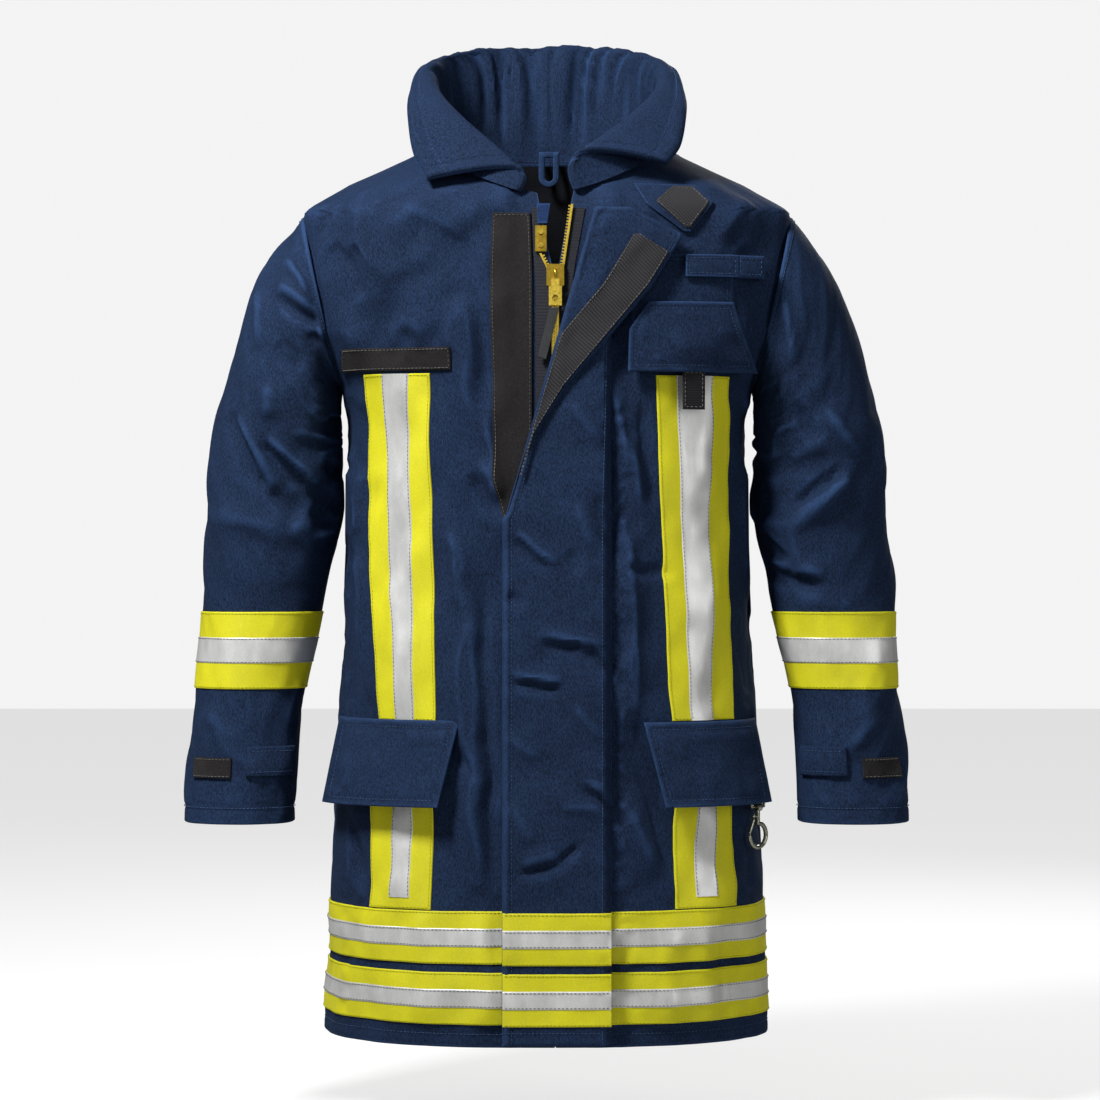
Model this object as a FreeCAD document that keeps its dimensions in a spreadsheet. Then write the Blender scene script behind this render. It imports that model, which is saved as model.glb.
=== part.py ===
import FreeCAD, Part
import math
import os
import Sketcher

# Turnout coat. Millimetres, +Z up, the wearer faces -Y, so the wearer's left is at +X.
# The origin is at the level of the hem, on the middle line between the two sides.

os.makedirs("parts", exist_ok=True)
doc = FreeCAD.newDocument("turnout_coat")
Vector = FreeCAD.Vector
Rotation = FreeCAD.Rotation
Placement = FreeCAD.Placement

# ---------------------------------------------------------------- driving dimensions

SIZES = {
    # level, half width, back line and squareness of the torso, from the hem to the neck
    "hem_level": 0, "hem_half_width": 221, "hem_back": 166, "hem_square": 2.4,
    "hip_level": 200, "hip_half_width": 212, "hip_back": 154, "hip_square": 2.5,
    "waist_level": 480, "waist_half_width": 200, "waist_back": 141, "waist_square": 2.5,
    "chest_level": 600, "chest_half_width": 199, "chest_back": 142, "chest_square": 2.6,
    "armpit_level": 640, "armpit_half_width": 205.5, "armpit_back": 141, "armpit_square": 2.8,
    "blade_level": 690, "blade_half_width": 234, "blade_back": 136, "blade_square": 3.0,
    "armhole_level": 742, "armhole_half_width": 245, "armhole_back": 125, "armhole_square": 3.0,
    "shoulder_level": 812, "shoulder_half_width": 243, "shoulder_back": 105, "shoulder_square": 2.6,
    "slope_level": 842, "slope_half_width": 193, "slope_back": 100, "slope_square": 2.3,
    "neck_level": 872, "neck_half_width": 130, "neck_back": 88, "neck_square": 2.1,
    "front_at_hem": 150, "front_at_shoulder": 115.7, "front_at_slope": 95, "front_at_neck": 72,
    "neck_hole_half_width": 116, "neck_hole_half_depth": 96, "neck_hole_middle": -11,
    "side_seam": 12, "seam_gap": 0.5,
    # laminate, counted outwards from the outer face of the outer shell
    "shell_in": -3, "bag_out": -3.5, "bag_in": -5, "barrier_out": -5.5, "barrier_in": -6.5,
    "lining_out": -7, "lining_in": -10, "sewn_gap": 0.4, "tape_top": 1.4, "silver_low": 1.6,
    "silver_top": 2.1, "loop_top": 2.4,
    # armhole plane and sleeves
    "armhole_top_x": 243.5, "armhole_top_z": 812, "armhole_low_x": 205.5, "armhole_low_z": 640,
    "sleeve_wall": 4, "sleeve_lining_wall": 2, "cuff_level": 208,
    # zip
    "zip_x": 8, "zip_bottom": 85, "zip_join": 738, "tooth_pitch": 3, "tooth_high": 1.3,
    "tooth_reach": 0.8, "tooth_root": 3.5, "chain_low": 1.7, "chain_top": 4.2,
    "slider_width": 17, "slider_length": 21, "slider_plate": 1.8, "slider_low": 4.6, "slider_level": 743,
    "puller_thick": 1.6, "cord_thick": 3, "cord_length": 50,
    # closure
    "flap_free_edge": -43, "fold_low_z": 510, "fold_low_x": -40, "fold_top_z": 812, "fold_top_x": 47,
    "flap_low": 4.9, "flap_top": 16, "channel_top": 12.5, "channel_left": -17, "channel_right": 28,
    "flap_seam": 62, "lapel_low": 16.4, "lapel_top": 20.4, "hook_tape_low": 20.7, "hook_tape_top": 22.6,
    # bands
    "band_width": 50, "lower_band_level": 22, "upper_band_level": 80, "silver_width": 17.6,
    "upright_silver_inset": 20,
    # pockets
    "flap_thickness": 4, "pocket_flare_top": 2.8, "pocket_flare_bottom": 20,
    "radio_body_low": 0.6, "radio_body_top": 8.5, "radio_flap_low": 10.8, "radio_flap_top": 14.8,
    # snap hook
    "ring_width": 18, "ring_height": 20, "ring_wire": 1.3, "hook_x": 207, "hook_y": -64, "ring_top": 245,
    "hook_wire": 2.2, "hook_bow": 12,
}

sheet = doc.addObject("Spreadsheet::Sheet", "Sizes")
for row, (alias, value) in enumerate(SIZES.items(), start=1):
    sheet.set(f"A{row}", alias)
    sheet.set(f"B{row}", str(value))
    sheet.setAlias(f"B{row}", alias)
doc.recompute()


def size(alias):
    """A driving dimension, read from the sheet."""
    return float(sheet.get(alias))


# ---------------------------------------------------------------- helpers

def bind(obj, prop, text):
    """Binds a property to an expression, in which a bare word is a cell of the sheet."""
    words = ["Sizes." + word if word in SIZES else word for word in str(text).split()]
    obj.setExpression(prop, " ".join(words))


def box(name, sides, base, turn=None):
    """A box with bound sides, its lowest corner at base."""
    obj = doc.addObject("Part::Box", name)
    for prop, text in zip(("Length", "Width", "Height"), sides):
        bind(obj, prop, text)
    obj.Placement = Placement(Vector(*base), turn or Rotation())
    return obj


def cylinder(name, radius, height, base, axis):
    obj = doc.addObject("Part::Cylinder", name)
    bind(obj, "Radius", radius)
    bind(obj, "Height", height)
    obj.Placement = Placement(Vector(*base), Rotation(Vector(0, 0, 1), Vector(*axis)))
    return obj


def cut(name, base, tool):
    obj = doc.addObject("Part::Cut", name)
    obj.Base = base
    obj.Tool = tool
    return obj


def fuse(name, *shapes):
    obj = doc.addObject("Part::MultiFuse", name)
    obj.Shapes = list(shapes)
    return obj


def group(name, *shapes):
    """Separate solids kept together in one sub-part."""
    obj = doc.addObject("Part::Compound", name)
    obj.Links = list(shapes)
    return obj


def mirrored(name, source):
    """The same piece on the wearer's other side."""
    obj = doc.addObject("Part::Mirroring", name)
    obj.Source = source
    obj.Normal = Vector(1, 0, 0)
    return obj


def feature(name, shape):
    obj = doc.addObject("Part::Feature", name)
    obj.Shape = shape
    obj.Placement = Placement()
    return obj


def pad_body(name, corners, thickness, frame, hole=None):
    """A PartDesign plate: a straight-sided outline of bound (x, y) corners, padded, with one round hole."""
    body = doc.addObject("PartDesign::Body", name)
    plane = [item for item in body.Origin.OriginFeatures if item.Role == "XY_Plane"][0]
    sketch = body.newObject("Sketcher::SketchObject", name + "_outline")
    sketch.AttachmentSupport = [(plane, "")]
    sketch.MapMode = "FlatFace"
    count = len(corners)
    points = [Vector(value_of(x), value_of(y), 0) for x, y in corners]
    for i in range(count):
        sketch.addGeometry(Part.LineSegment(points[i], points[(i + 1) % count]), False)
    for i in range(count):
        sketch.addConstraint(Sketcher.Constraint("Coincident", i, 2, (i + 1) % count, 1))
    for i, corner in enumerate(corners):
        for kind, text in zip(("DistanceX", "DistanceY"), corner):
            index = sketch.addConstraint(Sketcher.Constraint(kind, -1, 1, i, 1, value_of(text)))
            bind(sketch, f"Constraints[{index}]", text)
    if hole:
        x, y, radius = (value_of(text) for text in hole)
        circle = sketch.addGeometry(Part.Circle(Vector(x, y, 0), Vector(0, 0, 1), radius), False)
        for kind, text in (("DistanceX", hole[0]), ("DistanceY", hole[1])):
            sketch.addConstraint(Sketcher.Constraint(kind, -1, 1, circle, 3, value_of(text)))
        index = sketch.addConstraint(Sketcher.Constraint("Radius", circle, radius))
        bind(sketch, f"Constraints[{index}]", hole[2])
    pad = body.newObject("PartDesign::Pad", name + "_pad")
    pad.Profile = sketch
    bind(pad, "Length", thickness)
    doc.recompute()
    body.Placement = frame
    return body


def value_of(text):
    """The number that a sum of aliases and numbers works out to."""
    total = 0.0
    sign = 1
    for word in str(text).split():
        if word in ("+", "-"):
            sign = 1 if word == "+" else -1
        else:
            total += sign * (size(word) if word in SIZES else float(word))
            sign = 1
    return total


final = {}


def sub_part(label, obj):
    """Names a finished sub-part, which its file takes its name from."""
    obj.Label = label
    final[label] = obj
    return obj


# ---------------------------------------------------------------- the torso's form

STATIONS = ("hem", "hip", "waist", "chest", "armpit", "blade", "armhole", "shoulder", "slope", "neck")


def front_line(name):
    """How far the front stands forward at a station: a straight line from the hem to the shoulder."""
    if name in ("slope", "neck"):
        return size("front_at_" + name)
    share = size(name + "_level") / size("shoulder_level")
    return size("front_at_hem") + share * (size("front_at_shoulder") - size("front_at_hem"))


def station(name):
    """(level, half width, half depth, middle y, squareness) of one station of the torso."""
    front = front_line(name)
    back = size(name + "_back")
    return (size(name + "_level"), size(name + "_half_width"), (front + back) / 2,
            (back - front) / 2, size(name + "_square"))


TORSO = [station(name) for name in STATIONS]


def torso_at(level):
    """The torso's section values at any level, between the two stations that hold it."""
    for low, high in zip(TORSO[:-1], TORSO[1:]):
        if level <= high[0]:
            share = (level - low[0]) / (high[0] - low[0])
            return tuple(a + share * (b - a) for a, b in zip(low, high))
    return TORSO[-1]


def torso_point(turn, level, offset):
    """A point of the torso's surface, offset outwards. Turn 0 is the wearer's left, 90 the back."""
    _, half_width, half_depth, middle, square = torso_at(level)
    c, s = math.cos(math.radians(turn)), math.sin(math.radians(turn))
    x = (half_width + offset) * math.copysign(abs(c) ** (2 / square), c)
    y = middle + (half_depth + offset) * math.copysign(abs(s) ** (2 / square), s)
    return Vector(x, y, level)


def turn_at_x(x, level, offset, back=False):
    """The turn at which the front, or the back, reaches x."""
    _, half_width, _, _, square = torso_at(level)
    share = min(abs(x) / (half_width + offset), 1) ** (square / 2)
    turn = math.degrees(math.acos(math.copysign(share, x)))
    return turn if back else -turn


def turn_at_seam(y, level, offset):
    """The turn, near the wearer's left side, at which the section reaches y."""
    _, _, half_depth, middle, square = torso_at(level)
    share = (y - middle) / (half_depth + offset)
    return math.degrees(math.asin(math.copysign(min(abs(share), 1) ** (square / 2), share)))


def armhole_x(level):
    """Where the armhole plane crosses a level."""
    low_x, low_z = size("armhole_low_x"), size("armhole_low_z")
    slope = (size("armhole_top_x") - low_x) / (size("armhole_top_z") - low_z)
    return low_x + slope * (level - low_z)


def side_turn(level, offset, back):
    """The turn at which a panel ends: at the side seam, or at the armhole."""
    seam = size("side_seam") + (1 if back else -1) * size("seam_gap") / 2
    turn = turn_at_seam(seam, level, offset)
    at_armhole = size("armhole_low_z") < level <= size("armhole_top_z")
    if at_armhole and armhole_x(level) < torso_at(level)[1] + offset:
        cut_turn = turn_at_x(armhole_x(level), level, offset, back)
        return max(turn, cut_turn) if back else min(turn, cut_turn)
    return turn


def opening_turn(level, offset, side):
    """The turn at which a front panel ends at the zip, or above it at the neckline."""
    spread = 0.5
    if level > size("zip_join"):
        spread += 0.2 * (level - size("zip_join"))
    turn = turn_at_x(side * (size("zip_x") * side + spread), level, offset)
    if side < 0:
        turn = -180 - turn
    while turn < 0 and inside_neck(torso_point(turn, level, offset)):
        turn += 0.5
    return turn


def inside_neck(point):
    across = point.x / size("neck_hole_half_width")
    along = (point.y - size("neck_hole_middle")) / size("neck_hole_half_depth")
    return across ** 2 + along ** 2 < 1


# ---------------------------------------------------------------- sheets that follow the torso

def curve_through(points):
    curve = Part.BSplineCurve()
    curve.interpolate(Points=points)
    return curve.toShape()


def quad(a, b, c, d):
    """The face between the straight lines a-b and c-d."""
    surface = Part.BSplineSurface()
    surface.buildFromPolesMultsKnots([[a, b], [c, d]], [2, 2], [2, 2], [0, 1], [0, 1], False, False, 1, 1)
    return surface.toShape()


def layered_solid(sections):
    """A thick sheet, straight from each section to the next. A section is an inner and an outer row of points."""
    curves = [(curve_through(inner), curve_through(outer)) for inner, outer in sections]
    faces = []
    for k in (0, -1):
        inner, outer = sections[k]
        ends = [Part.LineSegment(inner[i], outer[i]).toShape() for i in (0, -1)]
        faces.append(Part.Face(Part.Wire([curves[k][0], ends[1], curves[k][1], ends[0]])))
    for k in range(len(sections) - 1):
        (inner, outer), (next_inner, next_outer) = sections[k], sections[k + 1]
        faces += [Part.makeRuledSurface(a, b) for a, b in zip(curves[k], curves[k + 1])]
        faces += [quad(inner[i], outer[i], next_inner[i], next_outer[i]) for i in (0, -1)]
    shell = Part.makeShell(faces)
    shell.sewShape()
    solid = Part.makeSolid(shell)
    if solid.Volume < 0:
        solid.reverse()
    return solid


def sheet_solid(levels, turns, low, high, steps):
    """A sheet between two offsets. turns(level, offset) gives the turns of its two edges."""
    sections = []
    for level in levels:
        rows = []
        for offset in (low(level), high(level)):
            first, last = turns(level, offset)
            rows.append([torso_point(first + (last - first) * k / steps, level, offset)
                         for k in range(steps + 1)])
        sections.append(rows)
    return layered_solid(sections)


def levels_between(bottom, top):
    """The bottom, the top and every station between them."""
    inner = [row[0] for row in TORSO if bottom + 1 < row[0] < top - 1]
    return [bottom] + inner + [top]


def constant(value):
    return lambda level: value


def patch(name, left, right, bottom, top, low, high, back=False, steps=6):
    """A piece of the sheet between two slanting edges, each (x at the bottom, x at the top)."""
    def turns(level, offset):
        share = (level - bottom) / (top - bottom)
        edges = [edge[0] + (edge[1] - edge[0]) * share for edge in (left, right)]
        return [turn_at_x(x, level, offset, back) for x in edges]

    low = low if callable(low) else constant(low)
    high = high if callable(high) else constant(high)
    return feature(name, sheet_solid(levels_between(bottom, top), turns, low, high, steps))


def panel(name, low, high, side, bottom, top):
    """A front panel of the body, on one side of the opening. side is +1 for the wearer's left."""
    def turns(level, offset):
        return [opening_turn(level, offset, side), side_turn(level, offset, False)]

    levels = sorted(levels_between(bottom, top) + [size("zip_join"), 827, 857, 865])
    solid = sheet_solid(levels, turns, constant(low), constant(high), 24)
    if side < 0:
        solid = solid.mirror(Vector(), Vector(1, 0, 0))
    return feature(name, solid)


def back_panel(name, low, high, bottom, top):
    def turns(level, offset):
        turn = side_turn(level, offset, True)
        return [turn, 180 - turn]

    return feature(name, sheet_solid(levels_between(bottom, top), turns, constant(low), constant(high), 40))


def body_layer(name, low, high, bottom, top):
    """The back and both fronts of one layer of the laminate."""
    return (panel(name + "_front_left", low, high, 1, bottom, top),
            panel(name + "_front_right", low, high, -1, bottom, top),
            back_panel(name + "_back", low, high, bottom, top))


# ---------------------------------------------------------------- the body's laminate

TOP = size("neck_level")
left_front, right_front, back = body_layer("shell", size("shell_in"), 0, 0, TOP)
sub_part("outer_shell_front_left", left_front)
sub_part("outer_shell_front_right", right_front)
sub_part("outer_shell_back", back)
barrier = body_layer("barrier", size("barrier_in"), size("barrier_out"), 12, TOP - 3)
sub_part("moisture_barrier", group("barrier", *barrier))
lining = body_layer("lining", size("lining_in"), size("lining_out"), 16, TOP - 3)
sub_part("thermal_lining", group("lining", *lining))
bag_right = patch("bag_right", (-196, -196), (-92, -92), 128, 300, size("bag_in"), size("bag_out"))
sub_part("pocket_bags", group("bags", bag_right, mirrored("bag_left", bag_right)))


# ---------------------------------------------------------------- bands of tape

GAP, TAPE_TOP = size("sewn_gap"), size("tape_top")
SILVER_LOW, SILVER_TOP = size("silver_low"), size("silver_top")
FLAP_TOP = size("flap_top")
FREE_EDGE, FLAP_SEAM = size("flap_free_edge"), size("flap_seam")


def hem_band(name, bottom, height, low, high):
    """A band round the hem, and the length of it that crosses the storm flap."""
    def turns(level, offset):
        first = turn_at_x(FLAP_SEAM + 2, level, offset)
        last = 180 + turn_at_x(-FREE_EDGE + 2, level, offset) * -1
        return [first, last]

    around = feature(name + "_around", sheet_solid([bottom, bottom + height], turns, constant(low),
                                                   constant(high), 30))
    over = patch(name + "_over", (FREE_EDGE, FREE_EDGE), (FLAP_SEAM, FLAP_SEAM), bottom, bottom + height,
                 FLAP_TOP + low, FLAP_TOP + high)
    return around, over


bands, silvers = [], []
for band in ("lower_band", "upper_band"):
    bottom = size(band + "_level")
    inset = (size("band_width") - size("silver_width")) / 2
    bands += hem_band(band, bottom, size("band_width"), GAP, TAPE_TOP)
    silvers += hem_band(band + "_silver", bottom + inset, size("silver_width"), SILVER_LOW, SILVER_TOP)
sub_part("hem_tapes", group("hem_yellow", *bands))
sub_part("hem_tape_silver", group("hem_silver", *silvers))

# Each strip: its left edge and its right edge, each at the bottom and the top, its bottom and its top.
STRIPS = {
    "right_upper": ((-163, -178), (-105, -113), 312, 648, False),
    "right_lower": ((-169, -169), (-110, -110), 131, 245, False),
    "left_upper": ((119, 104), (180, 178), 312, 646, False),
    "left_lower": ((123, 123), (182, 182), 131, 245, False),
    "back_right": ((-168, -168), (-108, -108), 131, 690, True),
    "back_left": ((108, 108), (168, 168), 131, 690, True),
}
INSET = size("upright_silver_inset")
yellow_strips, silver_strips = [], []
for name, (left, right, bottom, top, behind) in STRIPS.items():
    yellow_strips.append(patch(name, left, right, bottom, top, GAP, TAPE_TOP, behind))
    inner_left = tuple(x + INSET for x in left)
    inner_right = tuple(x - INSET for x in right)
    silver_strips.append(patch(name + "_silver", inner_left, inner_right, bottom, top, SILVER_LOW,
                               SILVER_TOP, behind, 3))
sub_part("vertical_tapes", group("upright_yellow", *yellow_strips))
sub_part("vertical_tape_silver", group("upright_silver", *silver_strips))
LOOP_TOP = size("loop_top")
sub_part("name_loop_strip", patch("name_strip", (-200, -200), (-90, -90), 651, 673, GAP, LOOP_TOP))


# ---------------------------------------------------------------- storm flap, lapel and hook tapes

def fold_x(level):
    """Where the fold line of the lapel stands at a level."""
    rise = (level - size("fold_low_z")) / (size("fold_top_z") - size("fold_low_z"))
    return size("fold_low_x") + rise * (size("fold_top_x") - size("fold_low_x"))


def sheet_between(name, levels, edges, low, high, steps=6):
    """A piece of the sheet whose edges (left x, right x) are given level by level."""
    def turns(level, offset):
        return [turn_at_x(x, level, offset) for x in edges[levels.index(level)]]

    low = low if callable(low) else constant(low)
    high = high if callable(high) else constant(high)
    return feature(name, sheet_solid(levels, turns, low, high, steps))


def flap_slab(name, left, right, low, high):
    """A slab of the storm flap from the hem to the top, cut back to the fold line above the closure."""
    levels = [3, 200, 480, 509, 600, 640, 690, 742, 808]
    edges = []
    for level in levels:
        least = fold_x(level) if level > 509 else FREE_EDGE
        edges.append((max(left, least), max(right, least + 1)))
    return sheet_between(name, levels, edges, low, high, 4)


FLAP_LOW, CHANNEL_TOP = size("flap_low"), size("channel_top")
roof = flap_slab("flap_roof", FREE_EDGE, FLAP_SEAM, CHANNEL_TOP, FLAP_TOP)
seam_wall = flap_slab("flap_seam_wall", size("channel_right"), FLAP_SEAM, GAP, CHANNEL_TOP + 0.2)
edge_levels = [3, 200, 480, 509]
edge_wall = sheet_between("flap_edge_wall", edge_levels, [(FREE_EDGE, size("channel_left"))] * 4,
                          FLAP_LOW, CHANNEL_TOP + 0.2, 3)
sub_part("storm_flap", fuse("storm_flap_whole", roof, seam_wall, edge_wall))
sub_part("storm_flap_hook_tape", patch("flap_hook", (-41, -41), (-19, -19), 135, 500, 2.9, 4.6))

loop_tape = sheet_between("loop_tape", [133, 200, 480, 600, 640, 690, 742, 803],
                          [(-54, -14)] * 7 + [(-52, -16)], GAP, LOOP_TOP, 4)
sub_part("placket_loop_tape", loop_tape)

# The lapel's free edge, from its lowest point to its corner at the shoulder: (level, x).
LAPEL_EDGE = ((513, -37), (545, -30), (586, -12), (634, 19), (682, 60), (731, 101), (781, 132), (808, 80))
lapel_levels = [level for level, _ in LAPEL_EDGE]
lapel_edges = [(fold_x(level) + 0.5, x if x > fold_x(level) + 2 else fold_x(level) + 2)
               for level, x in LAPEL_EDGE]
sub_part("storm_flap_lapel", sheet_between("lapel", lapel_levels, lapel_edges, size("lapel_low"),
                                           size("lapel_top"), 4))
HOOK_TAPE_WIDTH = 44
hook_levels = lapel_levels[2:-1]
hook_edges = [(max(fold_x(level) + 3, x - HOOK_TAPE_WIDTH), x - 3) for level, x in LAPEL_EDGE[2:-1]]
sub_part("lapel_hook_tape", sheet_between("lapel_hook", hook_levels, hook_edges, size("hook_tape_low"),
                                          size("hook_tape_top"), 4))


# ---------------------------------------------------------------- pockets

def flared(top_level, bottom_level, lift):
    """An offset that grows from the flap's seam to its lower edge."""
    def offset(level):
        share = (top_level - level) / (top_level - bottom_level)
        flare = size("pocket_flare_bottom") - size("pocket_flare_top")
        return size("pocket_flare_top") + flare * share + lift

    return offset


def pocket_flap(name, left, right, bottom, top):
    thick = size("flap_thickness")
    return patch(name, left, right, bottom, top, flared(top, bottom, 0), flared(top, bottom, thick), steps=10)


sub_part("pocket_flap_right", pocket_flap("flap_right", (-221, -205), (-105, -84), 230, 313))
sub_part("pocket_flap_left", pocket_flap("flap_left", (114, 93), (221, 206), 230, 311))
PATCH_LOW, PATCH_HIGH = 240, 262
hook_right = patch("hook_right", (-190, -190), (-130, -130), PATCH_LOW, PATCH_HIGH,
                   flared(313, 230, -1.8), flared(313, 230, -0.3))
sub_part("flap_hook_patch_right", hook_right)
sub_part("flap_hook_patch_left", mirrored("hook_left", hook_right))
loop_right = patch("loop_right", (-190, -190), (-130, -130), PATCH_LOW + 7, PATCH_HIGH, 2.6, 4.2)
sub_part("flap_loop_patches", group("loops", loop_right, mirrored("loop_left", loop_right)))

RADIO_LOW, RADIO_TOP = size("radio_flap_low"), size("radio_flap_top")
radio_bag = patch("radio_bag", (82, 80), (181, 181), 655, 764, size("radio_body_low"), size("radio_body_top"))
sub_part("radio_pocket", radio_bag)
radio_flap = sheet_between("radio_flap", [649, 690, 717], [(78, 206), (79, 190), (98, 181)],
                           RADIO_LOW, RADIO_TOP)
sub_part("radio_pocket_flap", radio_flap)
sub_part("radio_pull_tab", patch("pull_tab", (131, 131), (153, 153), 613, 648.6, RADIO_LOW, 13.4, steps=2))
strap_over = patch("strap_over", (134, 134), (184, 184), 741, 763, 10, 13)
strap_end = patch("strap_end", (184.2, 184.2), (211, 211), 741, 763, 1, 13)
sub_part("mic_strap", group("strap", strap_over, strap_end))


# ---------------------------------------------------------------- collar, hanger loop and throat tab

# The free edge of one side of the collar, from the middle of the back to the front end: (x, y, z).
COLLAR_EDGE = ((0, 100, 986), (55, 91, 983), (98, 52, 972), (122, -8, 957), (131, -45, 932),
               (133, -75, 903), (128, -92, 866), (117, -104, 834))
# The way round the neck of each of those points, in degrees from the middle of the back.
COLLAR_TURNS = (0, 30, 60, 90, 110, 130, 150, 168)
COLLAR_THICKNESS, COLLAR_CLEAR = 6, 2.2


def torso_height(x, y):
    """The level at which the sloping top of the torso reaches a point seen from above."""
    low, high = size("armhole_level"), size("neck_level")
    while high - low > 0.1:
        level = (low + high) / 2
        _, half_width, half_depth, middle, square = torso_at(level)
        inside = (abs(x) / half_width) ** square + (abs(y - middle) / half_depth) ** square < 1
        low, high = (level, high) if inside else (low, level)
    return high


def neck_seam(turn, side):
    """The collar's lower edge at a turn, on the wearer's left (+1) or right (-1), clear of the torso."""
    a = math.radians(turn)
    x = (size("neck_hole_half_width") + 8) * math.sin(a)
    y = size("neck_hole_middle") + (size("neck_hole_half_depth") + 7) * math.cos(a)
    inner = 1 - (COLLAR_THICKNESS / 2 + 1) / math.hypot(x, y)
    return Vector(side * x, y, torso_height(x * inner, y * inner) + COLLAR_CLEAR)


def collar_row():
    """Pairs of lower and upper points, from the right front end round the back to the left front end."""
    right = [(neck_seam(turn, -1), Vector(-x, y, z)) for turn, (x, y, z) in zip(COLLAR_TURNS, COLLAR_EDGE)]
    left = [(neck_seam(turn, 1), Vector(x, y, z)) for turn, (x, y, z) in zip(COLLAR_TURNS, COLLAR_EDGE)]
    return right[::-1] + left[1:]


def collar_solid():
    row = collar_row()
    wires = []
    for k, (low, high) in enumerate(row):
        before, after = row[max(k - 1, 0)], row[min(k + 1, len(row) - 1)]
        along = (after[0] + after[1]) - (before[0] + before[1])
        normal = along.cross(high - low).normalize() * (COLLAR_THICKNESS / 2)
        corners = [low - normal, low + normal, high + normal, high - normal]
        wires.append(Part.makePolygon(corners + corners[:1]))
    return Part.makeLoft(wires, True, True)


sub_part("collar", feature("collar_solid", collar_solid()))

LOOP_X, LOOP_Y, LOOP_Z = 2, 70, 857.5
loop_outer = fuse("loop_outer", box("loop_legs", (21, 2, 26), (LOOP_X - 10.5, LOOP_Y, LOOP_Z)),
                  cylinder("loop_bow", 10.5, 2, (LOOP_X, LOOP_Y, LOOP_Z), (0, 1, 0)))
loop_inner = fuse("loop_inner", box("loop_slot", (8, 4, 20), (LOOP_X - 4, LOOP_Y - 1, LOOP_Z)),
                  cylinder("loop_eye", 4, 4, (LOOP_X, LOOP_Y - 1, LOOP_Z), (0, 1, 0)))
sub_part("hanger_loop", cut("loop_cut", loop_outer, loop_inner))

sub_part("throat_tab", patch("throat", (112, 96), (158, 138), 784, 832, 1, 4, steps=3))
sub_part("throat_tab_hook_patch", patch("throat_hook", (115, 102), (155, 138), 788, 824, 4.2, 5.6, steps=3))


# ---------------------------------------------------------------- zip, in the leaning plane of the placket

LEAN = -math.degrees(math.atan((size("front_at_hem") - size("front_at_shoulder")) / size("shoulder_level")))
PLACKET = Placement(Vector(0, -size("front_at_hem"), 0), Rotation(Vector(1, 0, 0), LEAN))


def on_placket(x, offset, z):
    """A point of the placket: across, outwards from the shell, and up along the front."""
    return PLACKET.multVec(Vector(x, -offset, z))


def upright_at(x, offset, z):
    """A frame on the placket whose X is across, Y up and Z outwards."""
    return Placement(on_placket(x, offset, z), PLACKET.Rotation.multiply(Rotation(Vector(1, 0, 0), 90)))


def chain(name, side, path):
    """A zip's half: a cord with teeth, along a path of (x, z) points. Side +1 is the wearer's left."""
    pitch, high = size("tooth_pitch"), size("tooth_high")
    reach, root = size("tooth_reach"), size("tooth_root")
    edge = []
    for (x0, z0), (x1, z1) in zip(path[:-1], path[1:]):
        length = math.hypot(x1 - x0, z1 - z0)
        along = Vector((x1 - x0) / length, 0, (z1 - z0) / length)
        across = Vector(along.z, 0, -along.x) * side
        start = Vector(x0, 0, z0)
        phase = 0.1 if side > 0 else 0.1 + pitch / 2
        for k in range(int((length - phase - high) / pitch) + 1):
            foot = start + along * (phase + k * pitch)
            for rise, out in ((0, 1.2), (0, -reach), (high, -reach), (high, 1.2)):
                edge.append(foot + along * rise + across * out)
    top, bottom = Vector(path[-1][0], 0, path[-1][1]), Vector(path[0][0], 0, path[0][1])
    outer = []
    for x, z in path[::-1]:
        outer.append(Vector(x + side * root, 0, z))
    inner_start = [bottom + Vector(side * 1.2, 0, 0)]
    inner_end = [top + Vector(side * 1.2, 0, 0)]
    points = inner_start + edge + inner_end + outer
    face = Part.Face(Part.makePolygon(points + points[:1]))
    solid = face.extrude(Vector(0, -(size("chain_top") - size("chain_low")), 0))
    obj = feature(name, solid)
    obj.Placement = Placement(on_placket(0, size("chain_low"), 0), PLACKET.Rotation)
    return obj


ZIP_X, JOIN = size("zip_x"), size("zip_join")
LEFT_PATH = ((ZIP_X, size("zip_bottom")), (ZIP_X, JOIN), (ZIP_X + 5.4, JOIN + 15), (ZIP_X + 14, JOIN + 74))
RIGHT_PATH = ((ZIP_X, size("zip_bottom")), (ZIP_X, JOIN), (ZIP_X - 6, JOIN + 14), (ZIP_X - 12, JOIN + 26))
sub_part("zip_chain_left", chain("chain_left", 1, LEFT_PATH))
sub_part("zip_chain_right", chain("chain_right", -1, RIGHT_PATH))
tape_levels = [80, 200, 480, 600, 640, 690, JOIN, JOIN + 15, 808]
left_tape = [(ZIP_X + 1.6, 25)] * 7 + [(ZIP_X + 7, 27), (ZIP_X + 16, 37)]
right_tape = [(-11, ZIP_X - 1.6)] * 7 + [(-12.5, ZIP_X - 7.5), (-15, -8)]
sub_part("zip_tapes", group("zip_tape_pair",
                            sheet_between("zip_tape_left", tape_levels, left_tape, GAP, TAPE_TOP, 2),
                            sheet_between("zip_tape_right", tape_levels, right_tape, GAP, TAPE_TOP, 2)))
sub_part("zip_guard", patch("guard", (-9, -10), (0, 3), 793, 812, 1.8, 3.4, steps=2))

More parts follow.
